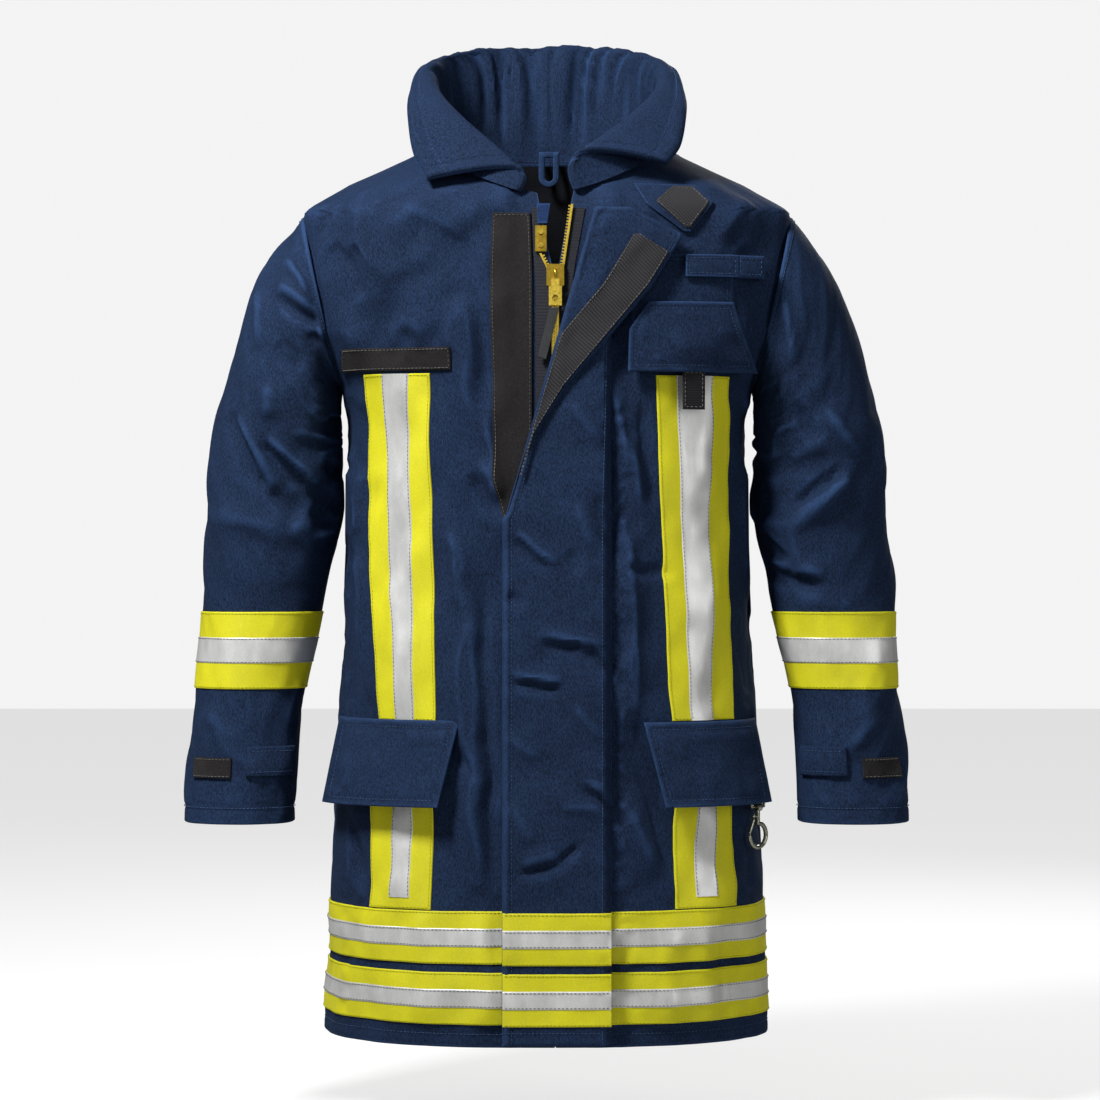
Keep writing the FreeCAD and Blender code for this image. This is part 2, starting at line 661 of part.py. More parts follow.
box_frame = (-11.5, 4.4, 766)
zip_box = box("zip_box", (11, 3, 25), on_placket(*box_frame), PLACKET.Rotation)
rivets = [cylinder(f"box_rivet_{k}", 2.6, 4.4, on_placket(-6, 3.6, 772 + 13 * k), (0, -1, 0)) for k in (0, 1)]
bottom_stop = box("bottom_stop", (9, 2.5, 5), on_placket(ZIP_X - 4.5, 4, 78), PLACKET.Rotation)
zip_block = fuse("zip_block", zip_box, *rivets)
sub_part("zip_box_and_stop", group("zip_ends", zip_block, bottom_stop))

# The slider rides over the closed chain: a plate with a side wall on each side of the teeth.
SLIDER_Z, WIDE, LONG = size("slider_level"), size("slider_width"), size("slider_length")
low_corner = on_placket(ZIP_X - WIDE / 2, size("slider_low") + size("slider_plate"), SLIDER_Z - LONG / 2)
slider_plate = box("slider_top", ("slider_width", "slider_plate", "slider_length"), low_corner, PLACKET.Rotation)
walls = []
for name, x in (("slider_wall_right", ZIP_X - WIDE / 2), ("slider_wall_left", ZIP_X + WIDE / 2 - 3.4)):
    corner = on_placket(x, size("slider_low") + 0.5, SLIDER_Z - LONG / 2)
    walls.append(box(name, (3.4, 2.9, 7.5), corner, PLACKET.Rotation))
lug = doc.addObject("Part::Torus", "slider_lug")
lug.Radius1 = 3.6
lug.Radius2 = 1.1
lug.Placement = Placement(on_placket(ZIP_X, 6.4, SLIDER_Z + 1), Rotation(Vector(0, 1, 0), 90))
lug_trim = box("lug_trim", (4, 9, 12), on_placket(ZIP_X - 2, 5.6, SLIDER_Z - 5), PLACKET.Rotation)
whole_lug = cut("lug_cut", lug, lug_trim)
sub_part("zip_slider", fuse("slider", slider_plate, whole_lug, *walls))

PULL_Z = SLIDER_Z - 8
puller = pad_body("puller_plate", (("0 - 4", "4"), ("4", "4"), ("4", "0 - 3"), ("6.25", "0 - 3"),
                                   ("6.25", "0 - 22"), ("0 - 6.25", "0 - 22"), ("0 - 6.25", "0 - 3"),
                                   ("0 - 4", "0 - 3")), "puller_thick",
                  upright_at(ZIP_X, 7.4, PULL_Z), ("0", "0 - 15", "3.2"))
sub_part("zip_puller", puller)
cord = pad_body("cord_strip", (("0 - 4.5", "0"), ("4.5", "0"), ("0 - 8", "0 - cord_length"),
                               ("0 - 16", "0 - cord_length + 3")), "cord_thick",
                upright_at(ZIP_X - 1, 6.2, PULL_Z - 24))
sub_part("zip_pull_cord", cord)


# ---------------------------------------------------------------- snap hook under the left pocket flap

# The ring and the hook are drawn in their own plane, X across and Z up, and turned to lie along the body.
RING_TOP, HALF = size("ring_top"), size("ring_width") / 2
RING_LOW = RING_TOP - size("ring_height")
HOOK_TURN = Rotation(Vector(0, 0, 1), 45)
HOOK_FRAME = Placement(Vector(size("hook_x"), size("hook_y"), 0), HOOK_TURN)


def wire_path(points, radius, closed=True):
    """A round wire along straight lines between (x, z) points of the hook's plane."""
    ends = [Vector(x, 0, z) for x, z in points]
    pieces = []
    for start, end in zip(ends, ends[1:] + (ends[:1] if closed else [])):
        pieces.append(Part.makeCylinder(radius, (end - start).Length, start, end - start))
        pieces.append(Part.makeSphere(radius, start))
    if not closed:
        pieces.append(Part.makeSphere(radius, ends[-1]))
    return pieces[0].multiFuse(pieces[1:]).removeSplitter()


def hook_piece(name, shape):
    """A piece drawn in the hook's plane, put in its place."""
    obj = feature(name, shape)
    obj.Placement = HOOK_FRAME
    return obj


def on_hook(name, obj, corner):
    obj.Placement = HOOK_FRAME.multiply(Placement(Vector(*corner), obj.Placement.Rotation))
    return obj


square = ((-HALF, RING_TOP), (HALF, RING_TOP), (HALF, RING_LOW), (-HALF, RING_LOW))
sub_part("square_ring", hook_piece("ring", wire_path(square, size("ring_wire"))))

ALONG = (1, 0, 0)
web_block = on_hook("web", box("web", (10, 5.2, 8), (0, 0, 0)), (-5, -2.6, RING_TOP - 4))
web_bore = on_hook("web_bore", cylinder("web_bore", 1.8, 20, (0, 0, 0), ALONG), (-10, 0, RING_TOP))
web_tail = on_hook("web_tail", box("web_tail", (10, 4.6, 1.6), (0, 0, 0)), (-5, 2, RING_TOP + 2.4))
sub_part("ring_webbing", fuse("web_whole", cut("web_loop", web_block, web_bore), web_tail))

WIRE, BOW = size("hook_wire"), size("hook_bow")
BOW_Z = RING_LOW - 28
bow_points = [(BOW * math.sin(math.radians(turn)), BOW_Z + BOW * math.cos(math.radians(turn)))
              for turn in range(0, 267, 19)]
stem = wire_path([(0, RING_LOW - 5)] + bow_points, WIRE, closed=False)
arm = wire_path([(0, BOW_Z + BOW + 7), (-6.2, BOW_Z + BOW + 7)], 1.8, closed=False)
eye_outer = on_hook("eye_outer", cylinder("eye_outer", 4.4, 6, (0, 0, 0), ALONG), (-3, 0, RING_LOW))
eye_bore = on_hook("eye_bore", cylinder("eye_bore", 1.8, 8, (0, 0, 0), ALONG), (-4, 0, RING_LOW))
eye = cut("hook_eye", eye_outer, eye_bore)
sub_part("snap_hook", fuse("hook_whole", eye, hook_piece("hook_wire_form", stem.fuse(arm))))
gate_ends = ((-6.2, BOW_Z + BOW + 3.2), (0.4 - BOW, BOW_Z + 3.4))
sub_part("snap_hook_gate", hook_piece("gate", wire_path(gate_ends, 1.5, closed=False)))


# ---------------------------------------------------------------- sleeves, built for the wearer's left

# Sections of the sleeve: outer (x, z), inner (x, z), half depth, middle y.
UPPER = (
    ((size("armhole_top_x") + 1, 812), (size("armhole_low_x") + 1.2, 640), 78, 0),
    ((285, 752), (206.5, 622), 76, 0),
    ((313, 672), (206, 598), 72, 1),
    ((335, 560), (205.5, 560), 70, 4),
    ((340, 511), (205, 511), 68, 8),
)
FOREARM = (
    ((340, 509), (205, 509), 66, 8),
    ((344, 460), (218, 460), 62, 5),
    ((346.5, 400), (229.5, 400), 57, 0),
    ((352, 330), (244, 330), 52, -10),
    ((357, 260), (249, 260), 50, -20),
    ((359, 208), (250, 208), 50, -28),
)


def sleeve_point(row, turn, offset):
    (outer_x, outer_z), (inner_x, inner_z), depth, middle = row
    across = Vector(outer_x - inner_x, 0, outer_z - inner_z) * 0.5
    half = across.Length
    centre = Vector((outer_x + inner_x) / 2, middle, (outer_z + inner_z) / 2)
    a = math.radians(turn)
    return (centre + across * ((half + offset) / half * math.cos(a))
            + Vector(0, (depth + offset) * math.sin(a), 0))


def forearm_row(level):
    """The forearm's section at a level, between the two that hold it."""
    for high, low in zip(FOREARM[:-1], FOREARM[1:]):
        if level >= low[0][1]:
            share = (high[0][1] - level) / (high[0][1] - low[0][1])
            mix = [a + share * (b - a) for a, b in
                   ((high[0][0], low[0][0]), (high[1][0], low[1][0]), (high[2], low[2]), (high[3], low[3]))]
            return (mix[0], level), (mix[1], level), mix[2], mix[3]
    return FOREARM[-1]


def sleeve_sheet(name, rows, first, last, offsets, steps=8):
    """A sheet round part of a sleeve. offsets holds (low, high) for each row."""
    turns = [first + (last - first) * k / steps for k in range(steps + 1)]
    sections = [[[sleeve_point(row, turn, offset) for turn in turns] for offset in pair]
                for row, pair in zip(rows, offsets)]
    return feature(name, layered_solid(sections))


def tube(name, rows, low, high):
    """A sleeve's tube in two halves, back and front, with a seam between them."""
    offsets = [(low, high)] * len(rows)
    return group(name, sleeve_sheet(name + "_back", rows, 0.3, 179.7, offsets, 12),
                 sleeve_sheet(name + "_front", rows, 180.3, 359.7, offsets, 12))


WALL, LINING = size("sleeve_wall"), size("sleeve_lining_wall")
SLEEVE_GAP = 0.5


def sleeve_pair(label, left):
    """The piece for the wearer's left arm, and its mirror image for the right arm."""
    sub_part(label + "_left", left)
    sub_part(label + "_right", mirrored(label + "_mirror", left))


sleeve_pair("upper_sleeve", tube("upper", UPPER, -WALL, 0))
sleeve_pair("upper_sleeve_lining", tube("upper_lining", UPPER, -WALL - SLEEVE_GAP - LINING, -WALL - SLEEVE_GAP))
sleeve_pair("forearm_sleeve", tube("forearm", FOREARM, -WALL, 0))
lining_rows = FOREARM[:-1] + (forearm_row(size("cuff_level") + 8),)
sleeve_pair("forearm_lining", tube("forearm_lining", lining_rows, -WALL - SLEEVE_GAP - LINING, -WALL - SLEEVE_GAP))
band_rows = [forearm_row(level) for level in (416, 400, 340)]
sleeve_pair("sleeve_tape", tube("sleeve_tape", band_rows, GAP, TAPE_TOP))
silver_rows = [forearm_row(level) for level in (390.5, 365.5)]
sleeve_pair("sleeve_tape_silver", tube("sleeve_silver", silver_rows, SILVER_LOW, SILVER_TOP))

wrist_rows = [forearm_row(level) for level in (300, 272, 216)]
WRIST_OFFSETS = ((-9.2, -7.2), (-15, -12.5), (-16, -13.5))
sleeve_pair("knitted_wristlet", group(
    "wristlet", sleeve_sheet("wristlet_back", wrist_rows, 0.5, 179.5, WRIST_OFFSETS, 10),
    sleeve_sheet("wristlet_front", wrist_rows, 180.5, 359.5, WRIST_OFFSETS, 10)))

patch_rows = [forearm_row(level) for level in (273, 260, 254)]
sleeve_pair("cuff_loop_patch", sleeve_sheet("cuff_patch", patch_rows, 277, 326, [(GAP, LOOP_TOP)] * 3))
tab_rows = [forearm_row(level) for level in (284, 260, 255)]
sleeve_pair("cuff_tab", sleeve_sheet("cuff_strap", tab_rows, 206, 262, [(0.8, 3.8)] * 3))


# ---------------------------------------------------------------- recompute, verify and write

doc.recompute()
for obj in doc.Objects:
    if "Invalid" in obj.State or "Error" in obj.State:
        raise RuntimeError(f"{obj.Name} did not recompute: {obj.State}")
for label, obj in final.items():
    if obj.Shape.isNull() or not obj.Shape.isValid() or obj.Shape.Volume <= 0:
        raise RuntimeError(f"{label} has no valid solid")
    obj.Shape.exportStep(f"parts/{label}.step")
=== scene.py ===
import math

import bpy
import numpy as np
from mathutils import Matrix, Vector


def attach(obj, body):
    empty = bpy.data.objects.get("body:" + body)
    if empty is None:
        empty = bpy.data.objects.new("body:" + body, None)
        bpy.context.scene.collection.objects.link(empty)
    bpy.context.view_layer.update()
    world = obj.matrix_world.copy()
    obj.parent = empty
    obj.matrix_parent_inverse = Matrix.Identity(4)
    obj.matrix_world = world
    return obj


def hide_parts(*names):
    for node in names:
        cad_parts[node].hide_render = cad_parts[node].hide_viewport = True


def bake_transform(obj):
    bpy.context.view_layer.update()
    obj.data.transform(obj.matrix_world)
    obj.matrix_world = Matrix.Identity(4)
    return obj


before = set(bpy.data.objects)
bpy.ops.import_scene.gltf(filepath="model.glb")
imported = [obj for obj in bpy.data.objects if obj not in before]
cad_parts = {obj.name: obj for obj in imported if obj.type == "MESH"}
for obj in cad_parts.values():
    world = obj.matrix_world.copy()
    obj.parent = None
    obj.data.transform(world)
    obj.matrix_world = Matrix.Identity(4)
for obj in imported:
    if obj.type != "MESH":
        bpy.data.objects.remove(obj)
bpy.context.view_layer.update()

# Turnout coat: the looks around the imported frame. Sizes are in millimetres until a mesh is made.

MM = 0.001

# ---------------------------------------------------------------- the torso's form, as in the CAD

LEVEL, HALF_WIDTH, FRONT, BACK, SQUARE = np.array((
    (0, 221, 150, 166, 2.4), (200, 212, 141.55, 154, 2.5), (480, 200, 129.7, 141, 2.5),
    (600, 199, 124.7, 142, 2.6), (640, 205.5, 123, 141, 2.8), (690, 234, 120.9, 136, 3.0),
    (742, 245, 118.7, 125, 3.0), (812, 243, 115.7, 105, 2.6), (842, 193, 95, 100, 2.3),
    (872, 130, 72, 88, 2.1))).T
NECK_X, NECK_Y, NECK_MIDDLE = 116, 96, -11
ZIP_X, ZIP_JOIN = 8, 738
FREE_EDGE, FLAP_SEAM, FLAP_TOP = -43, 62, 16        # the storm flap: its two edges' x and its standing height
HEM_SEAM, SHOULDER_TOP = 14, 872
ARM_LOW, ARM_HIGH = 640, 812
BODY = "coat_body"


def armhole_line(z):
    """The x of the armhole's seam, which slants outwards from the armpit to the shoulder's tip."""
    return 205.5 + (z - ARM_LOW) * 38 / 172


def torso_at(z):
    """Half width, half depth, middle y and squareness of the torso at each level."""
    z = np.asarray(z, float)

    def soft(column, reach):
        steps = [np.interp(z + reach * k, LEVEL, column) for k in (-1, -0.5, 0, 0.5, 1)]
        return (steps[0] + 2 * steps[1] + 2 * steps[2] + 2 * steps[3] + steps[4]) / 8

    front, back, square = soft(FRONT, 15), soft(BACK, 15), soft(SQUARE, 15)
    return soft(HALF_WIDTH, 4), (front + back) / 2, (back - front) / 2, square


def torso(turn, z, offset):
    """Points of the torso, pushed outwards by offset. Turn 0 is the wearer's left, 90 the back."""
    wide, deep, middle, square = torso_at(z)
    c, s = np.cos(np.radians(turn)), np.sin(np.radians(turn))
    x = (wide + offset) * np.sign(c) * np.abs(c) ** (2 / square)
    y = middle + (deep + offset) * np.sign(s) * np.abs(s) ** (2 / square)
    return np.stack(np.broadcast_arrays(x, y, z), -1)


def turn_at_x(x, z, offset=0.0, back=False):
    """The turn of the torso at which x lies, on its front or back."""
    wide, _, _, square = torso_at(z)
    share = np.clip(np.abs(x) / (wide + offset), 0, 1) ** (square / 2)
    turn = np.degrees(np.arccos(np.sign(x) * share))
    return turn if back else -turn


def on_front(x, z, offset):
    """Points of the torso's front by x and z, pushed outwards by offset."""
    return torso(turn_at_x(x, z, offset), z, offset)


def turn_at_y(y, z, offset=0.0):
    """The turn at which y lies, on the wearer's left."""
    _, deep, middle, square = torso_at(z)
    share = (y - middle) / (deep + offset)
    return np.degrees(np.arcsin(np.sign(share) * np.clip(np.abs(share), 0, 1) ** (square / 2)))


# ---------------------------------------------------------------- folds

def noise(x, y, seed):
    """Smooth seeded noise between about -1 and 1."""
    table = np.random.default_rng(seed).uniform(-1, 1, (61, 61))
    i, j = np.floor(x).astype(int), np.floor(y).astype(int)
    u, v = x - i, y - j
    u, v = u * u * (3 - 2 * u), v * v * (3 - 2 * v)
    a, b = table[i % 61, j % 61], table[(i + 1) % 61, j % 61]
    c, d = table[i % 61, (j + 1) % 61], table[(i + 1) % 61, (j + 1) % 61]
    return (a * (1 - u) + b * u) * (1 - v) + (c * (1 - u) + d * u) * v


def smooth(low, high, value):
    """A soft step from 0 at low to 1 at high."""
    share = np.clip((value - low) / (high - low), 0, 1)
    return share * share * (3 - 2 * share)


def line_at(distance, at, width):
    """1 along a narrow line and 0 away from it, for rims and for the grooves that stitches pull."""
    return np.exp(-((distance - at) / width) ** 2)


def strokes(x, z, rows, wobble=6):
    """Creases and ridges: (x0, z0, x1, z1, width, height) each, tapering towards both ends."""
    warp_x = x + wobble * noise(x / 37, z / 37, 3)
    warp_z = z + wobble * noise(x / 37, z / 37, 4)
    total = np.zeros_like(x + z)
    for x0, z0, x1, z1, width, height in rows:
        dx, dz = x1 - x0, z1 - z0
        length = math.hypot(dx, dz)
        along = ((warp_x - x0) * dx + (warp_z - z0) * dz) / length
        across = ((warp_x - x0) * dz - (warp_z - z0) * dx) / length
        past = np.maximum(np.maximum(-along, along - length), 0)
        taper = np.clip(1.15 - np.abs(2 * along / length - 1) ** 2, 0, 1)
        total = total + height * taper * np.exp(-past / 12) / (1 + (across / width) ** 2) ** 1.5
    return total


# Creases (below 0) and ridges (above 0) of the shell: x0, z0, x1, z1, width, height.
FRONT_FOLDS = (
    (-83, 724, -65, 583, 12, 2.4), (-68, 716, -57, 620, 8, -2), (-76, 553, -42, 509, 7, -2.4),
    (-65, 564, -39, 531, 8, 2.4), (-90, 509, -57, 301, 14, 2.6), (-63, 450, -50, 153, 7, -2.6),
    (-78, 405, -63, 153, 10, 3.0), (-194, 620, -179, 553, 8, -2.6), (-202, 553, -179, 494, 8, 2.8),
    (-194, 494, -183, 331, 9, -2.6), (-184, 509, -176, 331, 8, 2.8), (-102, 301, -68, 257, 7, -1.8),
    (-94, 494, -78, 450, 7, 1.8), (76, 583, 91, 509, 8, 2.6), (90, 620, 100, 524, 7, -2.4),
    (69, 464, 121, 450, 6, -2.0), (73, 524, 85, 316, 9, 2.6), (84, 324, 121, 153, 8, -2.4),
    (69, 242, 106, 161, 12, 2.4), (195, 620, 198, 553, 8, -2.6), (204, 553, 196, 457, 8, 2.6),
    (191, 524, 201, 331, 7, -2.6), (-205, 227, -198, 153, 8, 2.4), (-187, 220, -176, 146, 7, -2.2),
    (206, 220, 198, 161, 7, -2.4), (-213, 775, -176, 724, 9, -2.2), (-205, 790, -131, 746, 12, 2.2),
    (-176, 835, -161, 775, 12, 2.0), (-131, 813, -79, 775, 12, 1.8), (-109, 798, -65, 746, 9, -2.0),
    (-57, 613, -46, 524, 7, 2.0), (195, 820, 165, 783, 12, 2.0), (187, 768, 217, 731, 9, -2.0),
    (61, 642, 73, 553, 7, 2.2), (54, 583, 63, 450, 6, -2.2), (-150, 700, -100, 690, 16, 1.6),
    (-60, 130, -56, 20, 12, 1.6), (-120, 125, -112, 15, 16, 1.6), (110, 120, 118, 12, 16, 1.6),
    (170, 115, 176, 15, 12, -1.4), (-180, 110, -176, 15, 12, -1.4),
)
BACK_FOLDS = (
    (-170, 610, -40, 660, 12, 2.8), (170, 610, 40, 660, 12, 2.8), (-60, 640, -50, 250, 16, 2.6),
    (-160, 585, -60, 625, 8, -2.4), (150, 590, 55, 628, 8, -2.4), (55, 600, 62, 210, 14, 2.6),
    (-185, 520, -40, 430, 12, 2.4), (180, 500, 60, 420, 12, 2.4), (-150, 480, -50, 415, 8, -2.0),
    (-30, 780, 40, 700, 18, 2.2), (-190, 260, -180, 60, 14, 2.6), (190, 280, 180, 70, 14, 2.6),
    (0, 420, 10, 60, 18, 2.8), (-35, 380, -25, 90, 9, -2.2), (-120, 820, 0, 790, 16, 2.0),
    (120, 820, 10, 780, 16, 2.0), (-90, 330, -96, 40, 14, 2.4), (95, 300, 90, 40, 14, 2.4),
    (-200, 690, -120, 640, 10, -2.2), (200, 690, 120, 640, 10, -2.2),
)


def relief(turn, z):
    """How far the padded shell stands out from its plain form."""
    turn, z = np.broadcast_arrays(np.asarray(turn, float), np.asarray(z, float))
    point = torso(turn, z, 0)
    x = point[..., 0]
    front = np.sin(np.radians(turn)) < 0
    fold = np.where(front, strokes(x, z, FRONT_FOLDS, 4), strokes(x, z, BACK_FOLDS, 9))
    a = np.radians(turn)
    round_x, round_y = 30 + 3.2 * np.cos(a), 30 + 3.2 * np.sin(a)
    puff = (1.8 * noise(round_x + z / 88, round_y - z / 150, 11)
            + 1.2 * noise(2 * round_x - z / 90, 2 * round_y + z / 45, 12))
    puff = (puff + 0.5 * noise(x / 15, z / 19, 13)) * (1 + 0.7 * smooth(640, 700, z))
    pucker = 1.5 * noise(x / 9, z / 7, 14) * np.exp(-np.abs(x - 69) / 9) * front * (z < 640)
    seam = 1.2 * noise(x / 9, z / 8, 15) * np.exp(-np.abs(np.abs(x) - 196) / 8) * (z < 640)
    calm = 1 - 0.92 * front * smooth(46, 30, np.abs(x - 5))
    calm = calm * (1 - 0.8 * smooth(826, 860, z)) * (0.5 + 0.5 * smooth(0, 40, z))
    to_armhole = np.where((z > 625) & (z < 815), armhole_line(z) - np.abs(x), 60)
    to_armhole = np.minimum(to_armhole, np.hypot(np.abs(x) - 243, z - ARM_HIGH))
    calm = calm * smooth(-4, 26, to_armhole)
    total = (1.4 + fold * 2.9 + puff * 1.9 + pucker * 1.7 + seam * 1.5) * calm
    return np.clip(total, -2.8, 10 - 8 * smooth(176, 198, np.abs(x)))


def flap_relief(x, z):
    """The folds of the storm flap, which lies over the zip."""
    folds = ((-31, 485, 2, 457, 4, -2.4), (-29, 493, 11, 465, 6, 2.4), (19, 476, 30, 454, 5, -1.8),
             (-6, 389, 39, 381, 4.5, -2.4), (39, 381, 61, 360, 4.5, -2.6), (-9, 398, 59, 386, 7, 2.4),
             (-37, 351, 14, 343, 5, -2.4), (-34, 360, 16, 353, 7, 2.2), (36, 254, 66, 219, 5, -2.4),
             (42, 262, 67, 232, 7, 2.0), (-26, 168, 11, 176, 4, -2.4), (11, 176, 33, 193, 4, -2.4),
             (-23, 178, 11, 185, 6, 2.2), (-40, 437, -23, 423, 5, -1.8), (11, 232, 53, 229, 6, 1.4),
             (25, 327, 56, 299, 7, 1.6), (-37, 299, -6, 277, 8, 1.4), (-34, 232, -12, 198, 8, 1.5),
             (47, 530, 53, 479, 6, -2.0), (28, 524, 39, 474, 8, 1.6), (20, 620, 50, 580, 8, 1.6))
    pull = 1.6 * noise(x / 8, z / 7, 21) * np.exp(-(FLAP_SEAM - x) / 8)
    edge_pull = 0.7 * noise(x / 9, z / 11, 24) * np.exp(-(x - FREE_EDGE) / 8)
    soft = 0.8 + strokes(x, z, folds, 4) * 2.4
    soft = soft + 2.1 * noise(x / 41, z / 34, 22) + 0.6 * noise(x / 17, z / 15, 23)
    return np.clip((soft + pull * 1.3 + edge_pull) * (0.35 + 0.65 * smooth(0, 50, z)), -3.4, 5.5)


def calm(x, z):
    """No folds, for small stiff pieces."""
    return 0 * x


# ---------------------------------------------------------------- meshes

ALL_THREADS = {}        # (body, colour): the dashes of thread that belong together
SHARP = math.radians(48)


def make(name, verts, faces, material, body=None, replaces=()):
    """A mesh from points in millimetres, in its material's slot, on a body of the frame."""
    mesh = bpy.data.meshes.new(name)
    mesh.from_pydata((np.asarray(verts, float) * MM).tolist(), [], faces)
    mesh.validate()
    obj = bpy.data.objects.new(name, mesh)
    bpy.context.scene.collection.objects.link(obj)
    mesh.shade_smooth()
    mesh.set_sharp_from_angle(angle=SHARP)
    mesh.materials.append(material)
    if body:
        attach(obj, body)
    if replaces:
        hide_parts(*replaces)
    return obj


def grid_faces(rows, cols, start=0, flip=False, loop=False):
    """Quads of a grid of points. loop joins its last column to its first."""
    faces = []
    for r in range(rows - 1):
        for c in range(cols if loop else cols - 1):
            d = (c + 1) % cols
            quad = (start + r * cols + c, start + r * cols + d, start + (r + 1) * cols + d,
                    start + (r + 1) * cols + c)
            faces.append(quad[::-1] if flip else quad)
    return faces


def thick(outer, inner):
    """Vertices and faces of a closed sheet between two grids of points."""
    rows, cols = outer.shape[:2]
    count = rows * cols
    verts = np.concatenate((outer.reshape(-1, 3), inner.reshape(-1, 3)))
    faces = grid_faces(rows, cols) + grid_faces(rows, cols, count, flip=True)
    ring = ([(0, c) for c in range(cols)] + [(r, cols - 1) for r in range(1, rows)]
            + [(rows - 1, c) for c in range(cols - 2, -1, -1)] + [(r, 0) for r in range(rows - 2, 0, -1)])
    index = [r * cols + c for r, c in ring]
    for a, b in zip(index, index[1:] + index[:1]):
        faces.append((b, a, a + count, b + count))
    return verts, faces


def tube(outer, inner, side, ends):
    """Vertices and faces of a tube of cloth, whose two faces are joined at the rows in ends."""
    rows, cols = outer.shape[:2]
    count = rows * cols
    verts = np.concatenate((outer.reshape(-1, 3), inner.reshape(-1, 3)))
    flip = side < 0
    faces = grid_faces(rows, cols, 0, not flip, True) + grid_faces(rows, cols, count, flip, True)
    for row in ends:
        for c in range(cols):
            a, b = row * cols + c, row * cols + (c + 1) % cols
            face = (a, b, b + count, a + count)
            faces.append(face if (row == 0) != flip else face[::-1])
    return verts, faces


def spaced(length, step, edge=(0, 0.5, 1.4, 2.8, 4.8)):
    """Positions from 0 to length, closer together by both ends."""
    edge = [e for e in edge if e < length / 2]
    middle_length = length - 2 * edge[-1]
    count = max(1, round(middle_length / step))
    middle = [edge[-1] + middle_length * k / count for k in range(1, count)]
    return np.array(edge + middle + [length - e for e in edge[::-1]])


PITCH, DASH, THREAD_WIDE, THREAD_LIFT = 3.8, 2.5, 0.75, 0.25


def stitches(points, normals, key):
    """A row of thread dashes along a line of points. key is the (body, colour) they belong to."""
    points = np.asarray(points, float)
    gaps = np.linalg.norm(np.diff(points, axis=0), axis=1)
    way = np.concatenate(([0], np.cumsum(gaps)))
    count = int(way[-1] // PITCH)
    if count < 1:
        return
    starts = (np.arange(count) + 0.5) * way[-1] / count - DASH / 2

    def at(s, rows):
        return np.stack([np.interp(s, way, rows[:, k]) for k in range(3)], -1)

    a, b = at(starts, points), at(starts + DASH, points)
    up = at(starts + DASH / 2, np.asarray(normals, float))
    up /= np.linalg.norm(up, axis=1, keepdims=True)
    side = np.cross(b - a, up)
    side /= np.linalg.norm(side, axis=1, keepdims=True) + 1e-9
    middle = (a + b) / 2
    corners = []
    for centre, w, top in ((a, 0.55, 0.0), (middle, 1.0, 0.35), (b, 0.55, 0.0)):
        reach, low = side * THREAD_WIDE * w / 2, up * (THREAD_LIFT + top - 0.3)
        corners += [centre + reach + low, centre + up * (THREAD_LIFT + top + 0.25), centre - reach + low]
    ALL_THREADS.setdefault(key, []).append(np.stack(corners, 1))


# The faces of one dash: three cross-sections of three points each.
THREAD_FACES = ((0, 1, 4, 3), (1, 2, 5, 4), (3, 4, 7, 6), (4, 5, 8, 7), (2, 0, 3, 5), (5, 3, 6, 8), (0, 2, 1),
                (6, 7, 8))


def grid_normals(grid):
    """The direction out of a grid of points, at each of them."""
    du = np.gradient(grid, axis=0)
    dv = np.gradient(grid, axis=1)
    normal = np.cross(dv, du)
    return normal / (np.linalg.norm(normal, axis=-1, keepdims=True) + 1e-9)


def as_function(value):
    """A level's value, from a number or a list of (level, value) rows."""
    if callable(value):
        return value
    if np.isscalar(value):
        return lambda z: np.full_like(z, float(value))
    table = np.array(value, float)
    return lambda z: np.interp(z, table[:, 0], table[:, 1])


def rounding(distance, radius):
    """How far a rounded edge lies below its face, at a distance from the edge."""
    near = np.clip(radius - distance, 0, radius)
    return radius - np.sqrt(radius ** 2 - near ** 2)


